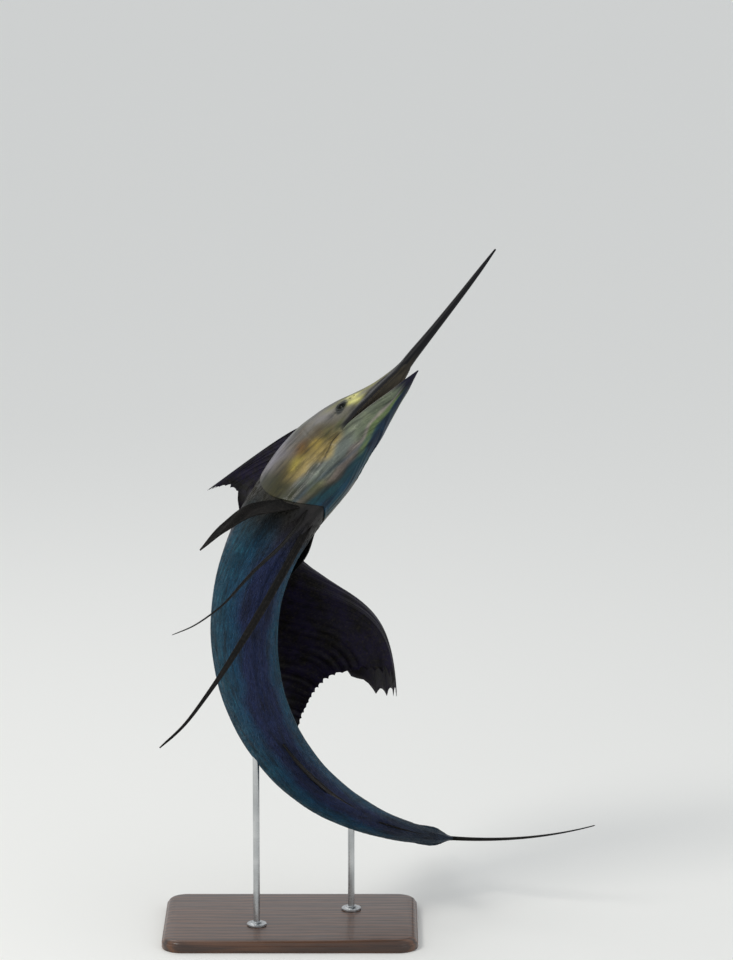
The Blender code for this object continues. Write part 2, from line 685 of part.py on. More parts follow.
def build_paired_fins():
    """Pectoral and pelvic fins of both sides."""
    share, angle = PECTORAL_ROOT
    width = column(BODY, 3, share) * FORK_LENGTH * math.cos(angle)
    drop = column(BODY, 2, share) * FORK_LENGTH * math.sin(angle)
    dark = (0.03, 0.04, 0.05)
    path = local_path(share, (width, drop), (
        (-0.006, -0.010, 0.0), (0.032, 0.035, 0.002),
        (0.080, 0.057, 0.006), (0.126, 0.061, 0.014)))
    _, tail, back, right = [p[0] for p in spine_at(np.array([share * FORK_LENGTH]))]
    flat = back * 0.95 + right * 0.15 - tail * 0.1
    blade("pectoral_right", path, PECTORAL_CHORD, flat, 5, 8, (0.0016, 0.0032), dark)
    places = ((0.0, angle, -0.010), (0.052, -0.12, 0.009), (0.104, 0.20, 0.011),
              (0.150, 0.36, 0.010))
    path = [section(share + reach, math.pi - turn, lift * FORK_LENGTH)
            for reach, turn, lift in places]
    flat = back * 0.95 - right * 0.30
    blade("pectoral_left", to_world(path), PECTORAL_CHORD, flat, 5, 8, (0.0016, 0.0032), dark)
    pelvics = (
        ("pelvic_left", -1, ((-0.010, 0.0, 0.012), (0.070, 0.004, -0.016),
                             (0.148, 0.008, -0.040), (0.266, 0.016, -0.070),
                             (0.336, 0.021, -0.078), (0.378, 0.030, -0.078))),
        ("pelvic_right", 1, ((-0.010, 0.0, 0.012), (0.050, 0.026, -0.026),
                             (0.106, 0.058, -0.056), (0.173, 0.082, -0.078),
                             (0.216, 0.110, -0.092), (0.238, 0.132, -0.100))),
    )
    for name, side, offsets in pelvics:
        foot = (side * 0.010, -column(BODY, 2, PELVIC_ROOT) * FORK_LENGTH)
        path = local_path(PELVIC_ROOT, foot, offsets)
        _, tail, back, right = [p[0] for p in spine_at(np.array([PELVIC_ROOT * FORK_LENGTH]))]
        flat = back * 0.6 - right * side * 0.8
        blade(name, path, PELVIC_CHORD, flat, 2, 17, (0.0012, 0.0026), dark)


def build_stand():
    """A flat base with rounded corners and edges, and two rods up to the body."""
    outline = []
    for turn in range(4):
        sign_x = (1, -1, -1, 1)[turn]
        sign_y = (1, 1, -1, -1)[turn]
        for step in range(CORNER_STEPS + 1):
            angle = (turn + step / CORNER_STEPS) * math.pi / 2
            outline.append((
                sign_x * (BASE_SIZE[0] / 2 - BASE_CORNER) + BASE_CORNER * math.cos(angle),
                sign_y * (BASE_SIZE[1] / 2 - BASE_CORNER) + BASE_CORNER * math.sin(angle)))
    outline = np.array(outline)
    rings = []
    profile = ((0, BASE_BEVEL / 2), (BASE_BEVEL / 2, 0), (BASE_SIZE[2] - BASE_BEVEL, 0),
               (BASE_SIZE[2], BASE_BEVEL))
    size = np.array(BASE_SIZE[:2]) / 2
    for height, inset in profile:
        ring = outline * (1 - inset / size)
        rings.append(np.concatenate([ring, np.full((len(ring), 1), height)], 1))
    points, faces = loft(rings, (0, 0, 0), (0, 0, BASE_SIZE[2]))
    new_object("stand_base", points, faces, (0.10, 0.06, 0.04), 0.4)

    turn = np.arange(ROD_SIDES) * 2 * math.pi / ROD_SIDES
    for name, share in zip(("stand_rod_front", "stand_rod_rear"), ROD_SHARES):
        at = spine_at(np.array([share * FORK_LENGTH]))[0][0]
        foot = BASE_SIZE[2] + GAP
        profile = (
            (foot, COLLAR_RADIUS), (foot + COLLAR_HEIGHT * 0.7, COLLAR_RADIUS),
            (foot + COLLAR_HEIGHT, COLLAR_RADIUS * 0.85),
            (foot + COLLAR_HEIGHT, ROD_RADIUS), (at[2], ROD_RADIUS))
        rings = [
            np.stack([at[0] + radius * np.cos(turn), at[1] + radius * np.sin(turn),
                      np.full_like(turn, height)], 1) for height, radius in profile]
        points, faces = loft(rings, (at[0], at[1], foot), (at[0], at[1], at[2]))
        rod = new_object(name, points, faces, (0.6, 0.6, 0.6), 0.25, 1.0)
        cut(rod, [body_cutter()])


def main():
    """Clear the scene and build the fish and its stand."""
    for obj in list(bpy.data.objects):
        bpy.data.objects.remove(obj)
    build_bill()
    build_head()
    build_lower_jaw()
    build_eyes()
    build_trunk()
    build_median_fins()
    build_sail()
    build_paired_fins()
    build_stand()


main()
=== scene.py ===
# A leaping sailfish at life size on a plain display stand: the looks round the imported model.
import math

import bmesh
import bpy
import numpy as np
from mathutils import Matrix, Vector


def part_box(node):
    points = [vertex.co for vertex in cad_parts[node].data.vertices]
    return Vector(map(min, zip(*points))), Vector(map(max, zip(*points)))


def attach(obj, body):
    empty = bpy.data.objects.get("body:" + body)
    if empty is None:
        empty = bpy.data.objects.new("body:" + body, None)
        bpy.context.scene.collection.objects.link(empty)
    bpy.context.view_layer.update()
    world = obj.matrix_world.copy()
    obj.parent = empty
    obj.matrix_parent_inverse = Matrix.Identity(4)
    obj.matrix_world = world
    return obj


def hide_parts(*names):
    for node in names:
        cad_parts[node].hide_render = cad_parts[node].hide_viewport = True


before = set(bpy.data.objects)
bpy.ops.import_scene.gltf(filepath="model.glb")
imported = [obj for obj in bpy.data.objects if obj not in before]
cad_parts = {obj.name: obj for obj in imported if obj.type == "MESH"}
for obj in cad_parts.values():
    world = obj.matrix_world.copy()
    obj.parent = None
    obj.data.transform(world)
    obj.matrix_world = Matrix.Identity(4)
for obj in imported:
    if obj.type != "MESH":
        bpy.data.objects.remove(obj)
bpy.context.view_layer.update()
print("frame loaded:", len(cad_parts), "nodes")

# The fish's own form, in shares of its length from the lower jaw to the tail's fork.
fishForm = {
    "length": 1.70,
    "headAt": (0.285, 0.045, 1.395),
    "pitch": 12,
    # share, fall of the axis, turn away from the viewer, roll, in degrees
    "pose": (
        (-0.22, 130, 0, 52), (0.20, 130, 0, 52), (0.27, 126, 1, 56), (0.33, 116, 2, 64),
        (0.40, 101, 5, 72), (0.50, 82, 12, 76), (0.62, 60, 23, 78), (0.78, 33, 33, 80),
        (1.12, -8, 37, 86),
    ),
    # share, rise of the back, drop of the belly, half width
    "body": (
        (0.000, 0.0135, 0.0025, 0.0080), (0.0275, 0.0200, 0.0200, 0.0115),
        (0.050, 0.0285, 0.0310, 0.0155), (0.080, 0.0470, 0.0400, 0.0225),
        (0.104, 0.0640, 0.0465, 0.0280), (0.135, 0.0815, 0.0530, 0.0335),
        (0.171, 0.0905, 0.0595, 0.0400), (0.200, 0.0915, 0.0620, 0.0430),
        (0.260, 0.0845, 0.0610, 0.0455), (0.340, 0.0780, 0.0610, 0.0470),
        (0.420, 0.0755, 0.0610, 0.0465), (0.550, 0.0670, 0.0570, 0.0425),
        (0.650, 0.0570, 0.0500, 0.0365), (0.750, 0.0450, 0.0405, 0.0290),
        (0.850, 0.0310, 0.0285, 0.0195), (0.920, 0.0215, 0.0200, 0.0135),
        (0.955, 0.0185, 0.0175, 0.0105), (0.976, 0.0190, 0.0180, 0.0050),
        (0.990, 0.0180, 0.0172, 0.0022),
    ),
    # share, floor of the upper jaw, rim of the lower jaw, its keel, its half width
    "jaws": (
        (0.000, -0.0025, -0.0255, -0.0275, 0.0012), (0.0245, -0.0040, -0.0250, -0.0300, 0.0085),
        (0.0515, -0.0065, -0.0230, -0.0345, 0.0145), (0.0755, -0.0095, -0.0205, -0.0390, 0.0205),
        (0.106, -0.0145, -0.0190, -0.0468, 0.0272), (0.131, -0.0195, -0.0200, -0.0520, 0.0322),
    ),
    # share, height of the bill's middle, radius
    "bill": (
        (-0.203, 0.0171, 0.0014), (-0.170, 0.0140, 0.0031), (-0.120, 0.0103, 0.0044),
        (-0.060, 0.0073, 0.0058), (0.000, 0.0055, 0.0080),
    ),
    "billTip": -0.203,
    "billPoint": 0.003,
    "mouthCorner": 0.131,
    "gillEdge": 0.229,
    "gillReach": 0.033,
    "skinEnd": 0.986,
}
length = fishForm["length"]


def smoothCurve(stations, values, x):
    # a curve through the stations that never overshoots them
    stations, values = np.asarray(stations, float), np.asarray(values, float)
    x = np.clip(x, stations[0], stations[-1])
    step = np.diff(stations)
    slope = np.diff(values) / step
    tangent = np.zeros_like(values)
    tangent[0], tangent[-1] = slope[0], slope[-1]
    for i in range(1, len(stations) - 1):
        if slope[i - 1] * slope[i] > 0:
            left = 2 * step[i] + step[i - 1]
            right = step[i] + 2 * step[i - 1]
            tangent[i] = (left + right) / (left / slope[i - 1] + right / slope[i])
    i = np.clip(np.searchsorted(stations, x) - 1, 0, len(step) - 1)
    t = (x - stations[i]) / step[i]
    rising = 3 * t**2 - 2 * t**3
    return (
        (1 - rising) * values[i] + rising * values[i + 1]
        + (t**3 - 2 * t**2 + t) * step[i] * tangent[i] + (t**3 - t**2) * step[i] * tangent[i + 1]
    )


def column(table, index, x):
    return smoothCurve([row[0] for row in table], [row[index] for row in table], x)


def unit(vectors):
    return vectors / np.maximum(np.linalg.norm(vectors, axis=-1, keepdims=True), 1e-12)


def ease(low, high, x):
    t = np.clip((x - low) / (high - low), 0, 1)
    return t * t * (3 - 2 * t)


def within(x, span):
    # 1 between the span's middle two numbers, easing off to its first and last
    return ease(span[0], span[1], x) * ease(span[3], span[2], x)


def swell(x):
    return np.exp(-np.square(x))


def bands(away, rows):
    # raised and sunk bands beside a line: height, distance from the line, width
    return sum(height * swell((away - place) / width) for height, place, width in rows)


def oval(share, fold, atShare, atFold, reach, degrees):
    # strength of an oval spot, by its half length in metres and its half height in degrees
    return swell(np.hypot((share - atShare) * length / reach, (fold - atFold) / degrees))


def makeSpine(steps=1340):
    # the bent axis: shares, points, and its tailward, back and right directions
    pose = fishForm["pose"]
    share = np.linspace(pose[0][0], pose[-1][0], steps + 1)
    fall, away, roll = [np.radians(column(pose, k, share)) for k in (1, 2, 3)]
    tail = np.stack([np.cos(away) * np.cos(fall), np.sin(away), -np.cos(away) * np.sin(fall)], 1)
    level = np.stack([-np.sin(fall), np.zeros_like(fall), -np.cos(fall)], 1)
    back = np.cos(roll)[:, None] * level + np.sin(roll)[:, None] * np.cross(tail, level)
    tilt = math.radians(fishForm["pitch"])
    turn = np.array(((1, 0, 0), (0, math.cos(tilt), -math.sin(tilt)), (0, math.sin(tilt), math.cos(tilt))))
    tail, back = tail @ turn, back @ turn
    point = np.zeros((steps + 1, 3))
    point[1:] = np.cumsum((tail[1:] + tail[:-1]) / 2 * (share[1] - share[0]) * length, 0)
    point -= point[int(np.argmin(abs(share)))]
    return share, point + np.array(fishForm["headAt"]), tail, back, np.cross(back, tail)


spine = makeSpine()


def spineAt(x):
    share = np.asarray(x, float) / length
    read = [np.stack([np.interp(share, spine[0], part[:, k]) for k in range(3)], -1) for part in spine[1:]]
    return [read[0]] + [unit(part) for part in read[1:]]


def toWorld(points):
    at, _, back, right = spineAt(points[..., 0])
    return at + right * points[..., 1:2] + back * points[..., 2:3]


def section(share, angle, grow=0.0):
    # straight point of the body's side, at an angle from the fish's right over its back
    width = column(fishForm["body"], 3, share) * length + grow
    rise = column(fishForm["body"], 1, share) * length + grow
    drop = column(fishForm["body"], 2, share) * length + grow
    sine = np.sin(angle)
    y = width * np.cos(angle) * (1 - 0.06 * sine**2)
    z = np.where(sine > 0, rise, drop) * sine
    return np.stack([share * length + 0 * y, y, z + 0 * y], -1)


def sidePoint(share, height, side, sink=0.0):
    rise = column(fishForm["body"], 1, share)
    y = column(fishForm["body"], 3, share) * length * math.sqrt(1 - (height / rise) ** 2) - sink
    return np.array((share * length, side * y, height * length))


def bodySize(share):
    # mean radius of the body there, in metres
    return (column(fishForm["body"], 1, share) + column(fishForm["body"], 3, share)) / 2 * length


def gillShare(angle):
    return fishForm["gillEdge"] + fishForm["gillReach"] * np.abs(np.cos(angle)) ** 1.3


def linear(colour):
    # a written sRGB colour as the shader's own values
    parts = [int(colour[k:k + 2], 16) / 255 for k in (1, 3, 5)]
    return np.array([c / 12.92 if c <= 0.04045 else ((c + 0.055) / 1.055) ** 2.4 for c in parts])


def unevenness(seed, count, low, high):
    return np.random.default_rng(seed).uniform(low, high, count)


# Meshes and nodes
def newMesh(name, points, faces, smooth=True):
    mesh = bpy.data.meshes.new(name)
    mesh.from_pydata(np.asarray(points, float).tolist(), [], [tuple(map(int, f)) for f in faces])
    if smooth:
        mesh.shade_smooth()
    return mesh


def newPiece(name, mesh, material=None):
    piece = bpy.data.objects.new(name, mesh)
    bpy.context.scene.collection.objects.link(piece)
    if material:
        mesh.materials.clear()
        mesh.materials.append(material)
    return piece


def gridFaces(index, closed=False):
    # quads between neighbouring rows and columns of point numbers, round and closed where asked
    here = index if closed else index[:, :-1]
    after = np.roll(index, -1, 1) if closed else index[:, 1:]
    return list(np.stack([here[:-1], after[:-1], after[1:], here[1:]], -1).reshape(-1, 4))


def tidyMesh(mesh, merge=2e-6):
    # seams closed and every face turned outwards
    shape = bmesh.new()
    shape.from_mesh(mesh)
    bmesh.ops.remove_doubles(shape, verts=shape.verts, dist=merge)
    bmesh.ops.dissolve_degenerate(shape, edges=shape.edges, dist=1e-7)
    bmesh.ops.recalc_face_normals(shape, faces=shape.faces)
    if shape.calc_volume(signed=True) < 0:
        bmesh.ops.reverse_faces(shape, faces=shape.faces)
    shape.to_mesh(mesh)
    shape.free()
    mesh.shade_smooth()


def paintPoints(mesh, name, values):
    layer = mesh.attributes.new(name, "FLOAT_COLOR", "POINT")
    rgba = np.ones((len(mesh.vertices), 4), np.float32)
    rgba[:, :3] = values
    layer.data.foreach_set("color", rgba.ravel())


def pointFloats(mesh, name, values):
    layer = mesh.attributes.new(name, "FLOAT", "POINT")
    layer.data.foreach_set("value", np.asarray(values, np.float32))


def pointVectors(mesh, name, values):
    layer = mesh.attributes.new(name, "FLOAT_VECTOR", "POINT")
    layer.data.foreach_set("vector", np.asarray(values, np.float32).ravel())


def layUv(mesh, name, perPoint):
    # an own map from two values a point
    corners = np.zeros(len(mesh.loops), np.int32)
    mesh.loops.foreach_get("vertex_index", corners)
    layer = mesh.uv_layers.new(name=name)
    layer.data.foreach_set("uv", np.asarray(perPoint, np.float32)[corners].ravel())


def settle(piece, slot, *nodes):
    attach(piece, "root")
    if nodes:
        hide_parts(*nodes)


class Nodes:
    # a short way to write a node tree
    def __init__(self, tree):
        self.tree = tree

    def add(self, kind, values=None, **settings):
        node = self.tree.nodes.new(kind)
        for key, value in settings.items():
            setattr(node, key, value)
        for key, value in (values or {}).items():
            self.feed(node.inputs[key], value)
        return node

    def feed(self, socket, value):
        if isinstance(value, bpy.types.NodeSocket):
            self.tree.links.new(value, socket)
        elif isinstance(value, bpy.types.Node):
            self.tree.links.new(value.outputs[0], socket)
        else:
            socket.default_value = value

    def math(self, operation, *values):
        node = self.add("ShaderNodeMath", operation=operation)
        for socket, value in zip(node.inputs, values):
            self.feed(socket, value)
        return node.outputs[0]

    def mix(self, factor, first, second, blend="MIX"):
        node = self.add("ShaderNodeMix", data_type="RGBA", blend_type=blend)
        self.feed(node.inputs["Factor"], factor)
        for socket, value in ((node.inputs[6], first), (node.inputs[7], second)):
            if isinstance(value, np.ndarray):
                value = (*value, 1.0)
            self.feed(socket, value)
        return node.outputs[2]

    def ramp(self, value, low, high, bottom=0.0, top=1.0):
        node = self.add("ShaderNodeMapRange", {0: value, 1: low, 2: high, 3: bottom, 4: top})
        return node.outputs[0]


def newMaterial(name, **shaderValues):
    material = bpy.data.materials.new(name)
    material.use_nodes = True
    tools = Nodes(material.node_tree)
    shader = material.node_tree.nodes["Principled BSDF"]
    words = {"coat": "Coat Weight", "coatRoughness": "Coat Roughness", "roughness": "Roughness",
             "metallic": "Metallic", "specular": "Specular IOR Level"}
    for key, value in shaderValues.items():
        shader.inputs[words[key]].default_value = value
    return material, tools, shader


def startTree(name, sizes):
    # a Geometry Nodes tree with named inputs
    tree = bpy.data.node_groups.new(name, "GeometryNodeTree")
    face = tree.interface
    face.new_socket("Geometry", in_out="INPUT", socket_type="NodeSocketGeometry")
    for word, value in sizes.items():
        kind = "NodeSocketInt" if isinstance(value, int) else "NodeSocketFloat"
        face.new_socket(word, in_out="INPUT", socket_type=kind).default_value = value
    face.new_socket("Material", in_out="INPUT", socket_type="NodeSocketMaterial")
    face.new_socket("Geometry", in_out="OUTPUT", socket_type="NodeSocketGeometry")
    tools = Nodes(tree)
    return tree, tools, tools.add("NodeGroupInput")


def endTree(tree, tools, given, shape):
    real = tools.add("GeometryNodeRealizeInstances", {"Geometry": shape})
    dressed = tools.add("GeometryNodeSetMaterial", {
        "Geometry": real, "Material": given.outputs["Material"]})
    tools.feed(tools.add("NodeGroupOutput").inputs[0], dressed)
    return tree


def bakeTree(piece, tree, values):
    # the tree's result as a plain mesh, with the modifier taken off
    modifier = piece.modifiers.new("made", "NODES")
    modifier.node_group = tree
    for item in tree.interface.items_tree:
        if item.in_out == "INPUT" and item.name in values:
            modifier[item.identifier] = values[item.name]
    piece.update_tag()
    graph = bpy.context.evaluated_depsgraph_get()
    mesh = bpy.data.meshes.new_from_object(piece.evaluated_get(graph))
    piece.modifiers.clear()
    piece.data = mesh
    return mesh


# Skin: one closed surface for bill, head, jaws, trunk and tail stalk
skinForm = {
    "columnsOver": 124,
    "columnsUnder": 60,
    "columnsMouth": 34,
    "rowsBill": 60,
    "rowsJaw": 104,
    "rowsGill": 84,
    "rowsTrunk": 176,
    "mouthDepth": 0.055,
    "eyeShare": 0.106,
    "eyeHeight": 0.022,
    "eyeRadius": 0.0165,
    "eyeProud": 0.0048,
    "nostrilShares": (0.0825, 0.0885),
    "nostrilHeight": 0.0245,
    "flapStep": 0.0026,
    "flapTuck": 0.0030,
    "keelShare": 0.950,
    "keelReach": 0.030,
    "keelRise": 0.0050,
    "keelFold": 12.9,
    "keelWidth": 4.4,
    # shares between which the bill's round form turns into the head's
    "billBlend": (-0.02, 0.03),
    # shares along which the lips roll
    "lipSpan": (0.012, 0.035, 0.118, 0.131),
    "lips": ((0.0012, 0.0045, 0.0032), (-0.0012, 0.0118, 0.0026)),
    "palateLip": ((0.0012, 0.0028, 0.0022),),
    "jawLip": ((0.0010, 0.0030, 0.0024),),
}


def mouthLine(share):
    share = np.clip(share, 0, fishForm["mouthCorner"])
    floor = -column(fishForm["jaws"], 1, share) / column(fishForm["body"], 2, share)
    return np.arcsin(np.minimum(floor, 0.85))


def spread(count, places, widths, gains):
    # fractions from 0 to 1, closer together round the given places
    fine = np.linspace(0, 1, 4001)
    density = np.ones_like(fine)
    for place, width, gain in zip(places, widths, gains):
        density += gain * swell((fine - place) / width)
    total = np.concatenate([[0], np.cumsum((density[1:] + density[:-1]) / 2)])
    return np.interp(np.linspace(0, total[-1], count + 1), total, fine)


def upperForm(share, angle, grow=0.0):
    # the round bill that widens into the head
    head = section(np.maximum(share, 0), angle, grow)
    head[..., 0] = share * length + 0 * angle
    radius = column(fishForm["bill"], 2, share) * length + grow
    middle = column(fishForm["bill"], 1, share) * length
    bill = np.stack([head[..., 0], radius * np.cos(angle), middle + radius * np.sin(angle)], -1)
    return bill + (head - bill) * ease(*skinForm["billBlend"], share)[..., None]


def foldAngle(angle):
    # degrees from the side's middle, up to the back and down to the belly, alike on both sides
    return np.degrees(np.arctan2(np.sin(angle), np.abs(np.cos(angle))))


def eyePlace(side):
    # the eyeball's middle and the way it looks, in the straight fish
    sink = skinForm["eyeRadius"] - skinForm["eyeProud"]
    middle = sidePoint(skinForm["eyeShare"], skinForm["eyeHeight"], side, sink)
    return middle, unit(np.array((-0.17, side * 0.96, 0.20)))


def nostrilPlace(share, side):
    return sidePoint(share, skinForm["nostrilHeight"], side)


# Lines of the side, by share and by degrees from its middle; the cover's front plate the other way round
cheekLine = ((0.131, -20), (0.148, -21), (0.165, -26), (0.182, -31), (0.199, -34), (0.225, -36), (0.262, -38))
throatLine = ((0.060, -82), (0.089, -76), (0.112, -64), (0.136, -56), (0.159, -50), (0.181, -44),
              (0.207, -42), (0.240, -42))
preopercleLine = ((-36, 0.150), (-15, 0.160), (10, 0.1655), (35, 0.162), (60, 0.150))
sideLine = ((0.245, 47), (0.275, 42), (0.31, 33), (0.35, 20), (0.42, 8), (0.52, 3), (0.99, 0))


def lineGap(share, fold, line):
    # metres across the body from a line drawn along it, positive above
    stations = [row[0] for row in line]
    where = smoothCurve(stations, [row[1] for row in line], share)
    return np.radians(fold - where) * bodySize(share)


reliefForm = {
    "socketDepth": 0.0062,
    "socketEdge": (0.0125, 0.0085),
    # bands round the eye: the rim of its socket, then the folds, weaker over the eye
    "eyeRim": ((0.0017, 0.0142, 0.0020),),
    "eyeFolds": ((-0.0010, 0.0182, 0.0015), (0.0008, 0.0218, 0.0024), (-0.0005, 0.0262, 0.0016)),
    "nostrilDepth": 0.0036,
    "nostrilWidth": 0.0022,
    "nostrilRim": ((0.0006, 0.0040, 0.0012),),
    "cheekSpan": (0.128, 0.142),
    "cheekGroove": ((-0.0030, 0, 0.0022), (0.0013, 0.0065, 0.0042)),
    "membraneRay": (0.0007, 0.01008),  # height and spacing
    "throatSpan": (0.062, 0.100, 0.205, 0.236),
    "throatFold": ((0.0020, 0, 0.0045), (-0.0019, -0.0082, 0.0036)),
    "throatRipple": (0.0006, 0.01885),
    "coverSpan": (0.131, 0.160, 0.225, 0.262),
    "frontPlate": (0.0007, (-40, -26, 8, 44)),
    "frontStep": ((-0.0006, 0.0030, 0.0030),),
    "rearPlate": ((-0.0004, 0, 0.0040),),
    "rearPlateSpan": (-32, -22, 0, 24),
    "coverCrown": ((0.0007, 0.030, 0.020),),
    "coverRim": ((-0.0007, 0.0085, 0.0022),),
    "fanLines": 0.00022,
    # share, degrees, half length, half height in degrees, height
    "brow": (0.104, 47, 0.030, 9, 0.0016),
    "hollow": (0.074, 6, 0.018, 16, -0.0011),
    "finRoot": (0.2600, -41, 0.026, 13, 0.0022),
    "sailSpan": (0.140, 0.152, 0.722, 0.742),
    "sailGroove": ((-0.0034, 0, 0.0030), (0.0014, 0.0085, 0.0042)),
    "bellySpan": (0.246, 0.262, 0.520, 0.560),
    "bellyGroove": ((-0.0032, 0, 0.0038), (0.0010, 0.0095, 0.0040)),
    "throatKeelSpan": (0.16, 0.19, 0.215, 0.235),
    "throatKeel": ((-0.0020, 0, 0.0040),),
    "lateralSpan": (0.262, 0.275, 0.940, 0.965),
    "lateralGroove": ((-0.0010, 0, 0.0016), (0.0005, 0.0034, 0.0020)),
    "unevenness": 0.0006,
}


def eyeRelief(base):
    # sockets, lids and nostrils of both sides
    form, grow = reliefForm, 0 * base[..., 0]
    for side in (1, -1):
        middle, look = eyePlace(side)
        away = base - middle
        off = np.linalg.norm(away - (away @ look)[..., None] * look, axis=-1)
        here = base[..., 1] * side > 0
        lower = 0.6 + 0.4 * ease(0.004, -0.004, away[..., 2])
        socket = -form["socketDepth"] * ease(*form["socketEdge"], off)
        eye = socket + bands(off, form["eyeRim"]) + bands(off, form["eyeFolds"]) * lower
        grow = grow + np.where(here, eye, 0)
        for place in skinForm["nostrilShares"]:
            off = np.linalg.norm(base - nostrilPlace(place, side), axis=-1)
            pit = -form["nostrilDepth"] * swell((off / form["nostrilWidth"]) ** 2)
            grow = grow + np.where(here, pit + bands(off, form["nostrilRim"]), 0)
    return grow


def coverRelief(share, fold, edge):
    # the groove under the gill cover, the rayed membrane below it, and the cover's plates
    form = reliefForm
    gap, low = lineGap(share, fold, cheekLine), lineGap(share, fold, throatLine)
    run = ease(*form["cheekSpan"], share) * ease(0.0, 0.012, edge)
    grow = run * bands(gap, form["cheekGroove"])
    height, spacing = form["membraneRay"]
    between = ease(0.0, 0.006, -gap) * ease(-0.004, 0.004, low) * run
    grow = grow + height * between * np.sin(gap / spacing * 2 * math.pi)
    grow = grow + within(share, form["throatSpan"]) * bands(low, form["throatFold"])
    height, spacing = form["throatRipple"]
    under = ease(0.10, 0.15, share) * ease(0.0, 0.02, edge) * ease(-0.006, -0.012, low)
    grow = grow + height * under * np.sin(low / spacing * 2 * math.pi)
    cover = within(share, form["coverSpan"])
    front = smoothCurve([row[0] for row in preopercleLine], [row[1] for row in preopercleLine], fold)
    ahead = (share - front) * length
    height, span = form["frontPlate"]
    plate = height * ease(0.020, 0.0, -ahead) * ease(0.0030, 0.0, ahead)
    grow = grow + within(fold, span) * (plate + bands(ahead, form["frontStep"]))
    second = (share - 0.190 - 0.0010 * fold / 8) * length
    grow = grow + cover * bands(second, form["rearPlate"]) * within(fold, form["rearPlateSpan"])
    grow = grow + cover * swell((fold - 8) / 30) * bands(edge, form["coverCrown"])
    grow = grow + cover * bands(edge, form["coverRim"]) * ease(62, 48, fold)
    fan = np.sin(fold * 0.55 + 5.5 * np.sin(share * 30)) * np.sin(fold * 1.31 + share * 70)
    return grow + form["fanLines"] * cover * fan * ease(60, 40, fold)


def relief(share, angle):
    # how far the skin stands out of the plain form, in metres
    form = reliefForm
    fold = foldAngle(angle)
    base = section(np.maximum(share, 0), angle)
    edge = (gillShare(angle) - share) * length
    grow = 0 * fold + 0 * share + eyeRelief(base) + coverRelief(share, fold, edge)
    grow = grow + form["brow"][4] * oval(share, fold, *form["brow"][:4])
    grow = grow + form["hollow"][4] * oval(share, fold, *form["hollow"][:4])
    grow = grow + form["finRoot"][4] * oval(share, fold, *form["finRoot"][:4]) * ease(0.0, -0.004, edge)
    # grooves that the sail and the pelvic fins fold into
    y = np.abs(base[..., 1])
    for upper, part in ((True, "sail"), (False, "belly")):
        there = ((fold > 0) if upper else (fold < 0)) * within(share, form[part + "Span"])
        grow = grow + there * bands(y, form[part + "Groove"])
    grow = grow + (fold < 0) * within(share, form["throatKeelSpan"]) * bands(y, form["throatKeel"])
    lateral = np.abs(lineGap(share, fold, sideLine))
    grow = grow + within(share, form["lateralSpan"]) * bands(lateral, form["lateralGroove"])
    # slow unevenness of real flesh
    slow = np.sin(share * 61 + fold * 0.09) * np.sin(fold * 0.13 - share * 23)
    return grow + form["unevenness"] * ease(0.03, 0.12, share) * slow


def keels(share, angle):
    # two small keels on each side of the tail stalk, as an outward push across the body
    reach = np.clip(1 - ((share - skinForm["keelShare"]) / skinForm["keelReach"]) ** 2, 0, None)
    ridge = swell((np.abs(foldAngle(angle)) - skinForm["keelFold"]) / skinForm["keelWidth"])
    return skinForm["keelRise"] * reach * ridge * np.sign(np.cos(angle))


def closeEnd(grid, middle, tip, steps=5):
    # extra rows that round a tube off to one point
    rows = []
    for k in range(steps + 1):
        turn = k / (steps + 1) * math.pi / 2
        point = middle + (tip - middle) * math.cos(turn)
        rows.append(point + (grid[0] - middle) * math.sin(turn))
    return np.concatenate([np.array(rows), grid])


def lipFade(share):
    return within(share, skinForm["lipSpan"])


def sunkLip(gap, rows):
    # a rolled edge that starts from nothing at the mouth's line
    return bands(gap, rows) - bands(0, rows)


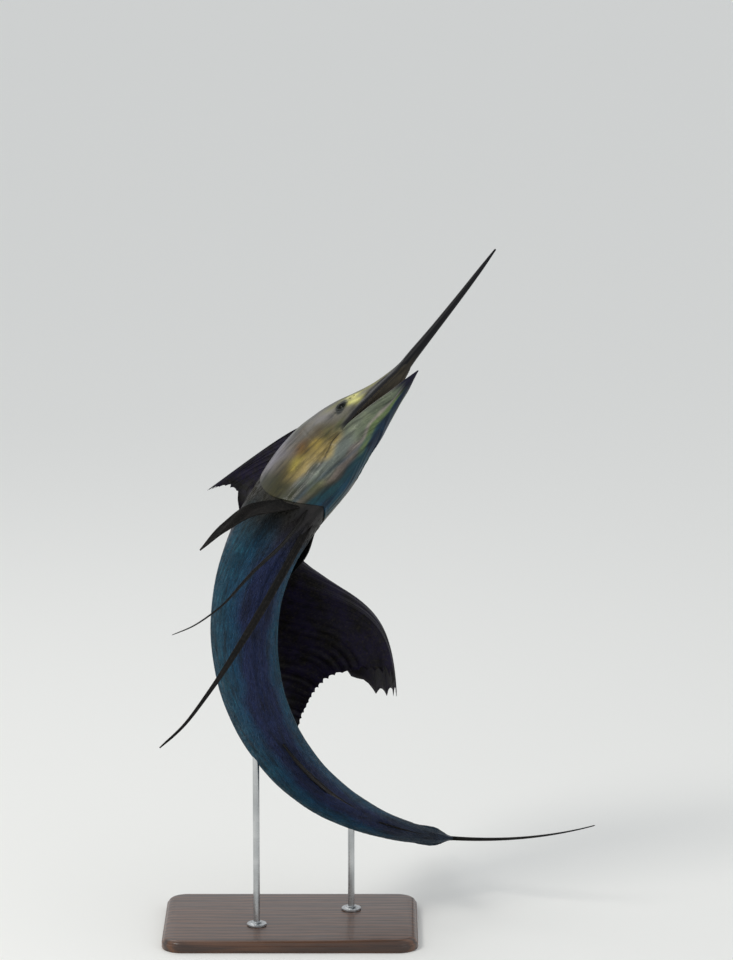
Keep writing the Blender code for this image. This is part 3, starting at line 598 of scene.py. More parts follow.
def buildSkin(material):
    corner, form = fishForm["mouthCorner"], skinForm
    over = spread(skinForm["columnsOver"], (0.215, 0.785, 0.5, 0, 1), (0.06, 0.06, 0.03, 0.02, 0.02),
                  (1.6, 1.6, 1.2, 1.5, 1.5))
    under = spread(skinForm["columnsUnder"], (0.5, 0, 1), (0.05, 0.03, 0.03), (1.0, 1.2, 1.2))
    mouth = spread(skinForm["columnsMouth"], (0, 1), (0.05, 0.05), (2.0, 2.0))
    tipShare = fishForm["billTip"]
    billRows = tipShare * np.linspace(1, 0, skinForm["rowsBill"] + 1) ** 1.15
    jawRows = corner * spread(skinForm["rowsJaw"], (0.81, 0.65, 1.0), (0.10, 0.04, 0.03), (1.5, 1.5, 1.0))
    upperRows = np.concatenate([billRows[:-1], jawRows])

    def upperOuter(share):
        line = mouthLine(share)[:, None]
        share = share[:, None]
        angle = -line + (math.pi + 2 * line) * over[None, :]
        gap = np.minimum(over, 1 - over)[None, :] * (math.pi + 2 * line) * (
            column(fishForm["body"], 3, np.maximum(share, 0)) * length)
        grow = relief(share, angle) * ease(-0.01, 0.03, share) + lipFade(share) * bands(gap, form["lips"])
        points = upperForm(share + 0 * angle, angle, grow)
        floor = column(fishForm["jaws"], 1, np.clip(share, 0, corner)) * length
        ends = ease(*form["billBlend"], share) * (floor - points[:, :1, 2]) * (share < corner - 1e-9)
        points[..., 2] += ends * swell(np.minimum(over, 1 - over)[None, :] / 0.02)
        return points, share + 0 * angle, angle

    def across(right, left, drop):
        # a sheet from one mouth line to the other, with its middle set up or down
        place = mouth[None, :, None]
        points = right[:, None] + (left - right)[:, None] * place
        points[..., 2] += drop
        return points

    outer, outerShare, outerAngle = upperOuter(upperRows)
    bulge = 4 * mouth * (1 - mouth)
    halfGap = np.abs(outer[:, 0, 1])[:, None]
    flatArch = 0.12 * halfGap * bulge
    radius = column(fishForm["bill"], 2, upperRows)[:, None] * length
    sweepTurn = -mouthLine(upperRows)[:, None] - (math.pi - 2 * mouthLine(upperRows)[:, None]) * mouth
    roundArch = radius * (np.sin(sweepTurn) - np.sin(sweepTurn[:, :1]))
    weight = ease(*form["billBlend"], upperRows)[:, None]
    palate = across(outer[:, 0], outer[:, -1], roundArch * (1 - weight) + flatArch * weight)
    roundY = radius * np.cos(sweepTurn)
    palate[..., 1] += (roundY - (outer[:, :1, 1] * (1 - 2 * mouth))) * (1 - weight)
    lipGap = np.minimum(mouth, 1 - mouth)[None, :] * 2 * halfGap
    palate[..., 2] -= lipFade(upperRows)[:, None] * sunkLip(lipGap, form["palateLip"])

    jawLine = mouthLine(jawRows)[:, None]
    jawAngle = -jawLine - (math.pi - 2 * jawLine) * under[None, :]
    jawShare = jawRows[:, None] + 0 * jawAngle
    join = ease(0.098, corner, jawShare)[..., None]
    rim = column(fishForm["jaws"], 2, jawShare) * length
    keel = column(fishForm["jaws"], 3, jawShare) * length
    width = column(fishForm["jaws"], 4, jawShare) * length
    sweep = math.pi * under[None, :]
    gapJaw = np.minimum(under, 1 - under)[None, :] * math.pi * width
    bodyGrow = relief(jawShare, jawAngle)
    grow = bodyGrow * ease(0.02, 0.07, jawShare) + 0.8 * lipFade(jawShare) * bands(gapJaw, form["lips"])
    own = np.stack([jawShare * length, (width + grow) * np.cos(sweep),
                    rim - (rim - keel + grow) * np.sin(sweep)], -1)
    whole = section(jawShare, jawAngle, bodyGrow)
    jaw = own + (whole - own) * join
    edge = 0.35 * width[:, :1] * np.minimum(1.0, (rim - keel)[:, :1] / (0.5 * width[:, :1]))
    hollow = -0.45 * edge * bulge[None, :]
    rimGap = np.minimum(mouth, 1 - mouth)[None, :] * 2 * width[:, :1]
    roll = lipFade(jawShare[:, :1]) * sunkLip(rimGap, form["jawLip"])
    jawTop = across(jaw[:, 0], jaw[:, -1], hollow + roll)

    def throatPocket(last):
        # rows behind the mouth's corner, closing to one point inside the head
        rows = []
        middle = np.array((last[0, 0], 0.0, last[0, 2]))
        for k in range(1, 11):
            part = k / 10
            shrink = math.sqrt(1 - part**2)
            row = middle + (last - middle) * shrink
            row[:, 0] = last[:, 0] + skinForm["mouthDepth"] * part
            rows.append(row)
        return np.array(rows)

    palate = np.concatenate([palate, throatPocket(palate[-1])])
    jawTop = np.concatenate([jawTop, throatPocket(jawTop[-1])])

    middle = np.array((tipShare * length, 0, column(fishForm["bill"], 1, tipShare) * length))
    tip = middle - np.array((fishForm["billPoint"], 0, 0))
    outer = closeEnd(outer, middle, tip)
    palate = closeEnd(palate, middle, tip)
    jawMiddle = jaw[0].mean(0) * np.array((1, 0, 1))
    jawTip = jawMiddle - np.array((0.004, 0, 0))
    jaw = closeEnd(jaw, jawMiddle, jawTip)
    jawTop = closeEnd(jawTop, jawMiddle, jawTip)

    def bodyPatch(angleOf):
        # from the mouth's corner over the gill cover and its free edge to the tail
        angle = angleOf[None, :]
        start, reach = corner, gillShare(angle)
        rows = []
        for part in spread(skinForm["rowsGill"], (1.0,), (0.06,), (1.5,)):
            share = start + (reach - start) * part
            rows.append((share, angle, relief(share, angle), 0 * share))
        free = ease(68, 52, foldAngle(angle))
        step, tuck = form["flapStep"], form["flapTuck"]
        edgeRelief = relief(reach, angle)
        # rounding of the flap's free edge, its underside, then the skin below it
        lip = ((0.0007, -0.0003, 0.5), (0.0011, -0.0010, 1.0), (0.0009, -0.0018, 1.5),
               (-0.0006, -0.0023, 2.1), (-tuck, -0.0026, 2.8), (-tuck * 0.9, -0.0034, 3.4),
               (-0.0004, -0.0036, 4.0))
        for forward, sink, plain in lip:
            x = forward * free + plain * 0.0011 * (1 - free)
            rows.append((reach + x / length, angle, edgeRelief + sink * free, 0 * reach))
        # rows slant with the flap's edge up to one share, and stand square after it
        soft, straight, slanted = 0.30, 0.42, 0.24
        first = reach + 0.0030 / length
        for part in spread(form["rowsTrunk"], (0.0, 0.97), (0.10, 0.05), (1.6, 0.8)):
            share = np.where(
                part < slanted, first + (straight - first) * (part / slanted),
                straight + (fishForm["skinEnd"] - straight) * (part - slanted) / (1 - slanted))
            level = 1 - ease(0, 1, np.clip((share - reach) / (soft - reach), 0, 1))
            lower = -(step + 0.0008 * swell((share - reach) * length / 0.006)) * level * free
            rows.append((share, angle, relief(share, angle) + lower, 1 + 0 * share))
        share = np.concatenate([row[0] + 0 * angle for row in rows])
        turn = np.concatenate([row[1] for row in rows])
        grow = np.concatenate([row[2] + 0 * angle for row in rows])
        trunk = np.concatenate([row[3] + 0 * angle for row in rows])
        points = section(share, turn, grow)
        points[..., 1] += keels(share, turn)
        end = np.array((fishForm["skinEnd"] * length, 0, 0))
        points = closeEnd(points[::-1], end, end + np.array((0.003, 0, 0)), 3)[::-1]
        extra = len(points) - len(share)
        return (points, *(np.concatenate([grid, np.repeat(grid[-1:], extra, 0)])
                          for grid in (share, turn, trunk)))

    cornerLine = float(mouthLine(np.array([corner]))[0])
    upper = bodyPatch(-cornerLine + (math.pi + 2 * cornerLine) * over)
    lower = bodyPatch(-cornerLine - (math.pi - 2 * cornerLine) * under)

    patches = []

    def addPatch(points, share, angle, region):
        # the rounded tip and the throat take the values of the rows beside them
        extra = len(points) - len(share)
        front = extra if region in ("outer", "jaw") else 6
        share, angle = [
            np.concatenate([np.repeat(grid[:1], front, 0), grid, np.repeat(grid[-1:], extra - front, 0)])
            for grid in (share, angle)]
        patches.append((points, share, angle, region))

    addPatch(outer, outerShare, outerAngle, "outer")
    addPatch(palate, upperRows[:, None] + 0 * sweepTurn, sweepTurn, "palate")
    addPatch(jaw, jawShare, jawAngle, "jaw")
    addPatch(jawTop, jawRows[:, None] + 0 * mouth, 0 * jawRows[:, None] + mouth, "jawTop")
    patches += [upper, lower]
    faces, start = [], 0
    kept = {name: [] for name in ("point", "tint", "scaled", "lay", "opened", "skinPlace")}
    for points, share, angle, region in patches:
        rows, cols = points.shape[:2]
        faces += gridFaces(start + np.arange(rows * cols).reshape(rows, cols))
        start += rows * cols
        colour, scale = skinColours(share, angle, region)
        inMouth = isinstance(region, str) and region in ("palate", "jawTop")
        around = np.radians(foldAngle(angle)) * bodySize(share) + 3.0 * inMouth
        made = {
            "point": toWorld(points), "tint": colour, "scaled": scale[..., None],
            "lay": spineAt(points[..., 0])[1],  # the way to the tail
            "opened": np.stack([share, (angle + math.pi) / (2 * math.pi), 0 * share], -1),
            "skinPlace": np.stack([points[..., 0], around], -1),
        }
        for name, grid in made.items():
            kept[name].append(grid.reshape(-1, grid.shape[-1]))
    kept = {name: np.concatenate(parts) for name, parts in kept.items()}
    mesh = newMesh("fish_skin", kept["point"], faces)
    paintPoints(mesh, "tint", kept["tint"])
    pointFloats(mesh, "scaled", kept["scaled"].ravel())
    pointVectors(mesh, "lay", kept["lay"])
    pointVectors(mesh, "opened", kept["opened"])
    layUv(mesh, "skinPlace", kept["skinPlace"])
    tidyMesh(mesh)
    return newPiece("fish_skin", mesh, material)


# Skin colours: one wet coat of markings with painted shade and painted sheen, drawn from places along and
# round the fish
skinPaint = {
    "depth": 0.70,  # the skin's own colour against its look in bright light
    "throatLean": 8,  # degrees that the throat's markings are drawn over to the far side
    "farLean": 1.6,  # how much more on that side itself
    "inks": {
        "billDark": "#08080f", "billOlive": "#6c6c36", "rimOlive": "#8a8442", "eyePatch": "#e8e48a",
        # the eye ring ink is painted shade in the eye sockets and nostrils; the mouth-dark ink is painted
        # shade in the groove under the gill cover
        "eyeSocketShade": "#07161b", "grooveShade": "#120d09", "jawGreen": "#68725f", "jawPale": "#6f7766",
        # the jaw keel, throat, throat teal and belly inks are painted shade of the underside turned from the
        # light
        "jawTeal": "#2c4a52", "jawTip": "#0f0f2a", "jawKeelShade": "#14283f", "jawOlive": "#6a7d52",
        "jawMauve": "#9c948e", "throat": "#17405a", "throatShadeTeal": "#1b414c",
        "membraneDark": "#38382f", "membraneMauve": "#6f6661", "membraneGrey": "#707872",
        "membraneGreen": "#66723f", "coverTan": "#a3905a", "coverGold": "#a48e44", "coverBright": "#a99a48",
        "coverOrange": "#74501c", "coverBrown": "#4f4228", "coverOlive": "#565b32", "cheekGrey": "#6a675e",
        # the lilac ink is a painted sheen on the upper cheek and cover
        "nape": "#6f6e78", "napeDark": "#43454e", "gillOlive": "#34351f", "lilacSheen": "#87838e",
        # the back rim ink is a painted sheen of grazing light along the back
        "shoulder": "#292417", "backTrunk": "#1f2940", "backRimSheen": "#74767f", "flank": "#16465c",
        "flankLow": "#1a4461", "belly": "#1f2a4e", "bar": "#3f88a2", "lateral": "#132430",
        # the inner throat ink is painted shade deep in the mouth
        "palate": "#51493b", "throatInsideShade": "#140e0d", "tailStalk": "#1d2a38",
    },
    # angle from the side's middle and the ink there, on the fore head, the cheek and the trunk; the dark navy
    # towards -90 degrees is painted shade of the underside turned from the light
    "fore": ((-90, "jawKeelShade"), (-83, "jawKeelShade"), (-78, "jawTeal"), (-73, "jawOlive"), (-64, "jawOlive"),
             (-58, "jawMauve"), (-51, "jawGreen"), (-40, "jawGreen"), (-22, "jawPale"), (-16, "cheekGrey"),
             (18, "cheekGrey"), (34, "billOlive"), (52, "napeDark"), (90, "nape")),
    "cheek": ((-90, "throat"), (-78, "throatShadeTeal"), (-70, "throatShadeTeal"), (-62, "membraneDark"),
              (-54, "membraneMauve"), (-46, "membraneGrey"), (-31, "membraneGrey"), (-22, "coverTan"),
              (0, "coverBrown"), (22, "cheekGrey"), (40, "cheekGrey"), (54, "nape"), (90, "nape")),
    "trunk": ((-90, "belly"), (-68, "belly"), (-50, "flankLow"), (-20, "flank"), (16, "flank"),
              # the pale stop at 32 degrees on the trunk is a painted sheen of grazing light
              (32, "backRimSheen"), (52, "backTrunk"), (90, "backTrunk")),
    # share, angle, half length in metres, half height in degrees, ink, strength
    "patches": (
        (0.060, 47, 0.040, 16, "rimOlive", 0.8), (0.090, 10, 0.020, 9, "billOlive", 0.7),
        (0.081, 27, 0.015, 11, "eyePatch", 1.0), (0.091, 12, 0.017, 10, "eyePatch", 0.9),
        # the lilac spots here and below are painted sheen on the upper side of the head
        (0.132, 30, 0.034, 13, "lilacSheen", 0.55), (0.124, -12, 0.022, 9, "coverOlive", 0.8),
        (0.146, 30, 0.030, 14, "cheekGrey", 0.7), (0.150, 2, 0.018, 12, "coverOlive", 0.7),
        (0.164, 52, 0.042, 10, "coverOlive", 0.75), (0.156, 12, 0.024, 9, "coverBrown", 0.9),
        (0.168, -4, 0.022, 9, "coverGold", 1.0),
        (0.172, 34, 0.030, 9, "coverBrown", 0.8), (0.192, 9, 0.024, 11, "coverOrange", 1.0),
        (0.190, -17, 0.030, 8, "coverTan", 1.0), (0.206, -2, 0.026, 9, "coverBright", 0.9),
        (0.212, 27, 0.032, 9, "coverBrown", 0.5), (0.212, 42, 0.050, 11, "lilacSheen", 0.9),
        (0.246, -4, 0.026, 15, "gillOlive", 0.9), (0.240, -22, 0.030, 14, "gillOlive", 0.9),
        (0.226, 30, 0.040, 12, "lilacSheen", 0.9),
        (0.150, -36, 0.030, 5, "membraneGrey", 0.9), (0.196, -40, 0.050, 6, "membraneGrey", 0.8),
        (0.136, -56, 0.022, 6, "jawMauve", 1.0), (0.108, -67, 0.036, 6, "jawOlive", 0.8),
        (0.160, -62, 0.034, 5, "membraneMauve", 0.8), (0.185, -54, 0.034, 6, "membraneMauve", 0.8),
        (0.216, -53, 0.030, 7, "membraneGreen", 0.6), (0.238, -46, 0.026, 12, "membraneDark", 0.7),
        (0.055, -38, 0.050, 12, "jawGreen", 0.6), (0.095, -30, 0.040, 7, "jawPale", 0.5),
    ),
    # along the jaw, the angle below which the upper jaw's side carries painted shade
    "jawShadeEdge": ((-0.06, 84), (0.0, 47), (0.03, 30), (0.06, 14), (0.09, -5), (0.131, -19), (0.14, -24)),
    # sizes of the painted shade in each eye's socket, its almond and the nostrils
    "socket": (0.0215, 0.0125),
    "socketAlmond": (0.0160, 0.0105),
    "nostril": (0.0036, 0.0016),
    "coverRearSpan": (-50, -38, 20, 40),
    "cheekSpan": (0.128, 0.14, 0.225, 0.262),
    # pale bars of the trunk: spacing by share and by degrees, and where they show
    "barSpacing": 0.034,
    "dotSpacing": 9,
    "barSpan": (0.29, 0.34, 0.80, 0.90),
    "barFolds": (-52, -38, 30, 48),
    "scaleSpan": (0.24, 0.30, 0.93, 0.99),
}


def blend(under, mask, over):
    return under + (over - under) * np.clip(mask, 0, 1)[..., None]


def socketShade(share, angle):
    # painted shade of the almond round each eye and in the nostrils
    paint = skinPaint
    base = section(np.maximum(share, 0), angle)
    ring = 0 * share
    for side in (1, -1):
        middle, look = eyePlace(side)
        away = base - middle
        off = np.linalg.norm(away - (away @ look)[..., None] * look, axis=-1)
        onSide = base[..., 1] * side > 0
        slant = (away[..., 0] - away[..., 2]) / math.sqrt(2)
        across = (away[..., 0] + away[..., 2]) / math.sqrt(2)
        ring = np.maximum(ring, onSide * ease(*paint["socket"], off))
        ring = np.maximum(ring, 0.9 * onSide * ease(*paint["socketAlmond"], np.hypot(slant / 2.0, across)))
        for place in skinForm["nostrilShares"]:
            pit = np.linalg.norm(base - nostrilPlace(place, side), axis=-1)
            ring = np.maximum(ring, ease(*paint["nostril"], pit))
    return 0.94 * ring


def skinColours(share, angle, region):
    # colour and strength of the scales; the region is a part of the head, or how far each point is trunk
    paint = skinPaint
    ink = {name: linear(value) * paint["depth"] for name, value in paint["inks"].items()}
    drawn = math.radians(paint["throatLean"]) * ease(-0.2, -0.8, np.sin(angle)) * ease(0.25, 0.15, share)
    drawn = drawn * (1 + paint["farLean"] * ease(0.0, -0.25, np.cos(angle)))
    fold = foldAngle(angle + drawn)
    # a slow wander, so that no marking runs straight
    wander = 3.2 * np.sin(share * 41 + 0.8) + 2.4 * np.sin(share * 97 + fold * 0.07)
    foldAt = fold + (wander + 1.6 * np.sin(share * 173 - fold * 0.11))
    shareAt = share + (0.0035 * np.sin(fold * 0.13 + 0.6) + 0.0022 * np.sin(fold * 0.31 + share * 60))

    def byFold(stops):
        degrees = [stop[0] for stop in stops]
        inks = np.array([ink[stop[1]] for stop in stops])
        return np.stack([np.interp(foldAt, degrees, inks[:, k]) for k in range(3)], -1)

    if isinstance(region, str) and region in ("palate", "jawTop"):
        colour = np.broadcast_to(ink["palate"], share.shape + (3,)).copy()
        # painted shade deepening into the mouth towards its corner and throat
        colour = blend(colour, ease(0.080, 0.135, share), ink["throatInsideShade"])
        return blend(colour, ease(0.03, -0.03, share), ink["billDark"]), 0 * share
    onHead = isinstance(region, str)
    isTrunk = 0 * share if onHead else region
    colour = blend(byFold(paint["fore"]), ease(0.118, 0.146, shareAt), byFold(paint["cheek"]))
    for *place, name, strength in paint["patches"]:
        colour = blend(colour, strength * oval(shareAt, foldAt, *place), ink[name])
    if onHead and region == "outer":
        # painted shade on the upper jaw's side, down to the mouth
        edge = np.interp(share, *zip(*paint["jawShadeEdge"]))
        dark = ease(edge + 5, edge - 5, foldAt)
        colour = blend(colour, ease(0.02, -0.02, share), ink["rimOlive"])
        colour = blend(colour, dark * ease(0.140, 0.120, share), ink["billDark"])
        colour = blend(colour, ease(-0.035, -0.07, share), ink["billDark"])
    if onHead and region == "jaw":
        colour = blend(colour, ease(0.050, 0.020, shareAt), ink["jawTip"])
    # painted shade in the eye sockets and nostrils
    colour = blend(colour, socketShade(share, angle), ink["eyeSocketShade"])
    edge = (gillShare(angle) - share) * length
    rear = ease(0.050, 0.012, edge) * within(fold, paint["coverRearSpan"]) * ease(0.19, 0.21, share)
    colour = blend(colour, 0.85 * rear, ink["gillOlive"])
    # painted shade in the groove under the gill cover's front
    groove = swell(lineGap(share, fold, cheekLine) / 0.0026) * within(share, paint["cheekSpan"])
    colour = blend(colour, 0.85 * groove, ink["grooveShade"])
    low = lineGap(share, fold, throatLine)
    # painted shade in the fold below the throat's line
    colour = blend(colour, 0.45 * swell((low + 0.008) / 0.006) * ease(0.06, 0.10, share), ink["throat"])

    trunk = byFold(paint["trunk"])
    shoulder = ease(0.345, 0.268, shareAt) * (0.88 + 0.12 * ease(-74, -44, fold))
    trunk = blend(trunk, 0.95 * shoulder, ink["shoulder"])
    trunk = blend(trunk, 0.8 * ease(0.80, 0.93, share), ink["tailStalk"])
    bars = 0.5 + 0.5 * np.cos(shareAt * 2 * math.pi / paint["barSpacing"])
    dots = 0.5 + 0.5 * np.cos(fold * 2 * math.pi / paint["dotSpacing"])
    barMask = ease(0.55, 0.95, bars * (0.35 + 0.65 * dots)) * within(fold, paint["barFolds"])
    trunk = blend(trunk, 0.24 * barMask * within(share, paint["barSpan"]), ink["bar"])
    lateral = lineGap(share, fold, sideLine)
    trunk = blend(trunk, 0.6 * swell(lateral / 0.0022) * ease(0.262, 0.28, share), ink["lateral"])
    return blend(colour, isTrunk, trunk), isTrunk * within(share, paint["scaleSpan"])


def skinMaterial():
    material, tools, shader = newMaterial("wet_skin", coat=0.07, coatRoughness=0.12, specular=0.16)
    tint = tools.add("ShaderNodeAttribute", attribute_name="tint").outputs["Color"]
    scaled = tools.add("ShaderNodeAttribute", attribute_name="scaled").outputs["Fac"]
    place = tools.add("ShaderNodeUVMap", uv_map="skinPlace").outputs[0]
    spot = tools.add("ShaderNodeTexCoord").outputs["Object"]
    streaks = tools.add("ShaderNodeMapping", {"Vector": place, "Scale": (11.0, 60.0, 1.0)})
    grain = tools.add("ShaderNodeTexNoise", {
        "Vector": streaks, "Scale": 1.0, "Detail": 6.0, "Roughness": 0.6})
    blotch = tools.add("ShaderNodeTexNoise", {
        "Vector": spot, "Scale": 26.0, "Detail": 5.0, "Roughness": 0.62})
    speck = tools.add("ShaderNodeTexNoise", {"Vector": spot, "Scale": 260.0, "Detail": 3.0})
    deeper = tools.mix(tools.ramp(grain.outputs["Fac"], 0.46, 0.66, 0.0, 0.62), tint, linear("#080a0b"))
    lifted = tools.mix(1.0, deeper, (1.75, 1.70, 1.45, 1.0), "MULTIPLY")
    lighter = tools.mix(tools.ramp(blotch.outputs["Fac"], 0.50, 0.72, 0.0, 0.55), deeper, lifted)
    bright = tools.mix(1.0, lighter, (1.6, 1.6, 1.5, 1.0), "MULTIPLY")
    dusted = tools.mix(tools.ramp(speck.outputs["Fac"], 0.56, 0.74, 0.0, 0.6), lighter, bright)
    tools.feed(shader.inputs["Base Color"], dusted)
    # fine needle-like scales that lie tailward, and the fine net of the bare head
    lay = tools.add("ShaderNodeMapping", {"Vector": place, "Scale": (120.0, 420.0, 1.0)})
    needles = tools.add("ShaderNodeTexVoronoi", {
        "Vector": lay, "Scale": 1.0, "Randomness": 0.85}, feature="F1")
    net = tools.add("ShaderNodeTexVoronoi", {"Vector": spot, "Scale": 420.0}, feature="F1")
    needle = tools.ramp(needles.outputs["Distance"], 0.05, 0.6, 1.0, 0.0)
    scaleHeight = tools.math("MULTIPLY", needle, scaled)
    headHeight = tools.math("MULTIPLY", net.outputs["Distance"], 0.25)
    both = tools.math("ADD", scaleHeight, headHeight)
    both = tools.math("ADD", both, tools.math("MULTIPLY", grain.outputs["Fac"], 0.7))
    bump = tools.add("ShaderNodeBump", {"Height": both, "Strength": 0.35, "Distance": 0.0009})
    tools.feed(shader.inputs["Normal"], bump)
    tools.feed(shader.inputs["Roughness"], tools.ramp(blotch.outputs["Fac"], 0.3, 0.7, 0.34, 0.50))
    return material


# Scales: thin bony slivers that lie tailward in the skin of the trunk
coatForm = {
    "spacing": 0.0037,
    "length": 0.017,
    "width": 0.0030,
    "height": 0.0013,
    "lift": -0.028,  # radians that the tail end stands out
    "seed": 11,
    "shades": (0.72, 1.45),
    "bakePatch": 0.003,
    # where the six points of a sliver lie in its patch, in halves of it
    "bakeStar": ((0.1, 0.1), (1, 0), (0, 1), (-1, 0), (0, -1), (-0.1, -0.1)),
}


def scaleTree():
    tree, tools, given = startTree("bony_scales", {
        "Spacing": 0.004, "Length": 0.016, "Width": 0.003, "Height": 0.001, "Lift": 0.0, "Seed": 0})
    where = tools.add("GeometryNodeInputNamedAttribute", {"Name": "scaled"}, data_type="FLOAT")
    lay = tools.add("GeometryNodeInputNamedAttribute", {"Name": "lay"}, data_type="FLOAT_VECTOR")
    spots = tools.add("GeometryNodeDistributePointsOnFaces", {
        "Mesh": given.outputs["Geometry"], "Distance Min": given.outputs["Spacing"],
        "Density Max": 200000.0, "Density Factor": where, "Seed": given.outputs["Seed"],
    }, distribute_method="POISSON")
    turn = tools.add("FunctionNodeAxesToRotation", {0: spots.outputs["Normal"], 1: lay},
                     primary_axis="Z", secondary_axis="X")
    vary = tools.add("FunctionNodeRandomValue", {2: 0.7, 3: 1.15, "Seed": given.outputs["Seed"]},
                     data_type="FLOAT")
    half = [tools.math("MULTIPLY", given.outputs[word], 0.5) for word in ("Length", "Width", "Height")]
    size = tools.add("ShaderNodeCombineXYZ", {0: half[0], 1: half[1], 2: half[2]})
    tilt = tools.add("ShaderNodeCombineXYZ", {1: given.outputs["Lift"]})
    ball = tools.add("GeometryNodeMeshUVSphere", {"Segments": 4, "Rings": 2, "Radius": 1.0})
    sliver = tools.add("GeometryNodeTransform", {"Geometry": ball, "Rotation": tilt, "Scale": size})
    put = tools.add("GeometryNodeInstanceOnPoints", {
        "Points": spots.outputs["Points"], "Instance": sliver, "Rotation": turn, "Scale": vary.outputs[1]})
    return endTree(tree, tools, given, put)


def buildScales(skin, material):
    form = coatForm
    piece = newPiece("bony_scales", skin.data.copy())
    words = ("spacing", "length", "width", "height", "lift", "seed")
    values = {word.capitalize(): form[word] for word in words}
    mesh = bakeTree(piece, scaleTree(), {**values, "Material": material})
    points, corners = len(mesh.vertices), len(form["bakeStar"])

    def read(name, word, parts):
        values = np.zeros(points * parts, np.float32)
        mesh.attributes[name].data.foreach_get(word, values)
        mesh.attributes.remove(mesh.attributes[name])
        return values.reshape(points, parts)

    tint = read("tint", "color", 4)[:, :3]
    place, opened = read("skinPlace", "vector", 2), read("opened", "vector", 3)
    shade = np.repeat(unevenness(form["seed"], points // corners, *form["shades"]), corners)
    paintPoints(mesh, "tint", tint * shade[:, None])
    layUv(mesh, "skinPlace", place)
    reach = form["bakePatch"] / 2
    star = np.tile(np.array(form["bakeStar"]) * reach, (points // corners, 1))
    layUv(mesh, "OFBake", opened[:, :2] * (1 - 2 * reach) + reach + star)
    mesh.shade_smooth()
    settle(piece, "body_skin")
    print("scales:", points // corners)


# Eyes: a ball with a bulging lens, a dark iris and a thin paler ring round the pupil
eyeForm = {"around": 64, "rings": 56, "frontRings": 40, "lensRise": 0.0009, "irisSink": 0.0005}


def eyeMaterial():
    material, tools, shader = newMaterial(
        "wet_eye", coat=0.12, coatRoughness=0.03, roughness=0.30, specular=0.06)
    polar = tools.add("ShaderNodeAttribute", attribute_name="polar").outputs["Fac"]
    turn = tools.add("ShaderNodeAttribute", attribute_name="turn").outputs["Fac"]
    spot = tools.add("ShaderNodeTexCoord").outputs["Object"]
    grain = tools.add("ShaderNodeTexNoise", {"Vector": spot, "Scale": 420.0, "Detail": 5.0})
    rays = tools.add("ShaderNodeTexNoise", {"W": turn, "Scale": 40.0, "Detail": 4.0}, noise_dimensions="1D")
    swing = tools.math("MULTIPLY", tools.math("SUBTRACT", rays.outputs["Fac"], 0.5), 1.5)
    uneven = tools.math("ADD", polar, swing)
    gold = tools.mix(tools.ramp(grain.outputs["Fac"], 0.35, 0.65), linear("#0c1312"), linear("#1a2018"))
    inner = tools.mix(tools.ramp(uneven, 39.0, 42.0), linear("#2f3022"), gold)
    pupil = tools.mix(tools.ramp(uneven, 38.0, 40.0), linear("#020304"), inner)
    outer = tools.mix(tools.ramp(uneven, 45.0, 51.0), pupil, linear("#050b0e"))
    tools.feed(shader.inputs["Base Color"], outer)
    return material


def buildEye(name, side, material):
    middle, look = eyePlace(side)
    turn = np.arange(eyeForm["around"]) * 2 * math.pi / eyeForm["around"]
    front = eyeForm["frontRings"]
    polar = np.concatenate([np.linspace(0.6, 60, front), np.linspace(64, 179, eyeForm["rings"] - front)])
    upward = unit(np.cross(look, (1.0, 0, 0)))
    forward = np.cross(upward, look)
    radius = skinForm["eyeRadius"] + 0 * polar
    radius = radius + eyeForm["lensRise"] * swell(polar / 20) - eyeForm["irisSink"] * swell((polar - 42) / 6)
    ring = np.radians(polar)[:, None]
    points = middle + radius[:, None, None] * (
        look * np.cos(ring)[..., None]
        + np.sin(ring)[..., None] * (forward * np.cos(turn)[:, None] + upward * np.sin(turn)[:, None])[None])
    rows, cols = points.shape[:2]
    index = np.arange(rows * cols).reshape(rows, cols)
    faces = gridFaces(index, closed=True) + [index[0][::-1], index[-1]]
    mesh = newMesh(name, toWorld(points.reshape(-1, 3)), faces)
    pointFloats(mesh, "polar", np.repeat(polar, cols))
    pointFloats(mesh, "turn", np.tile(turn, rows))
    tidyMesh(mesh)
    piece = newPiece(name, mesh, material)
    settle(piece, "eye", "eye_right" if side > 0 else "eye_left")


# Fins: thin closed membranes, with every ray a tapered rod that Geometry Nodes sweep along it
def sheetMesh(name, centre, half, across, place):
    # a closed sheet round a grid of middle points
    normal = unit(np.cross(across, np.gradient(centre, axis=0)))
    rows, cols = half.shape
    points = np.concatenate([(centre + normal * half[..., None]).reshape(-1, 3),
                             (centre - normal * half[..., None]).reshape(-1, 3)])
    index = np.arange(rows * cols).reshape(rows, cols)
    quads, under = gridFaces(index), rows * cols
    rim = list(index[0]) + list(index[1:, -1]) + list(index[-1, -2::-1]) + list(index[-2:0:-1, 0])
    band = [(a, a + under, b + under, b) for a, b in zip(rim, rim[1:] + rim[:1])]
    faces = quads + [quad[::-1] + under for quad in quads] + band
    mesh = newMesh(name, points, faces)
    grid = np.stack(place, -1).reshape(-1, 2)
    layUv(mesh, "finPlace", np.concatenate([grid, grid]))
    return mesh


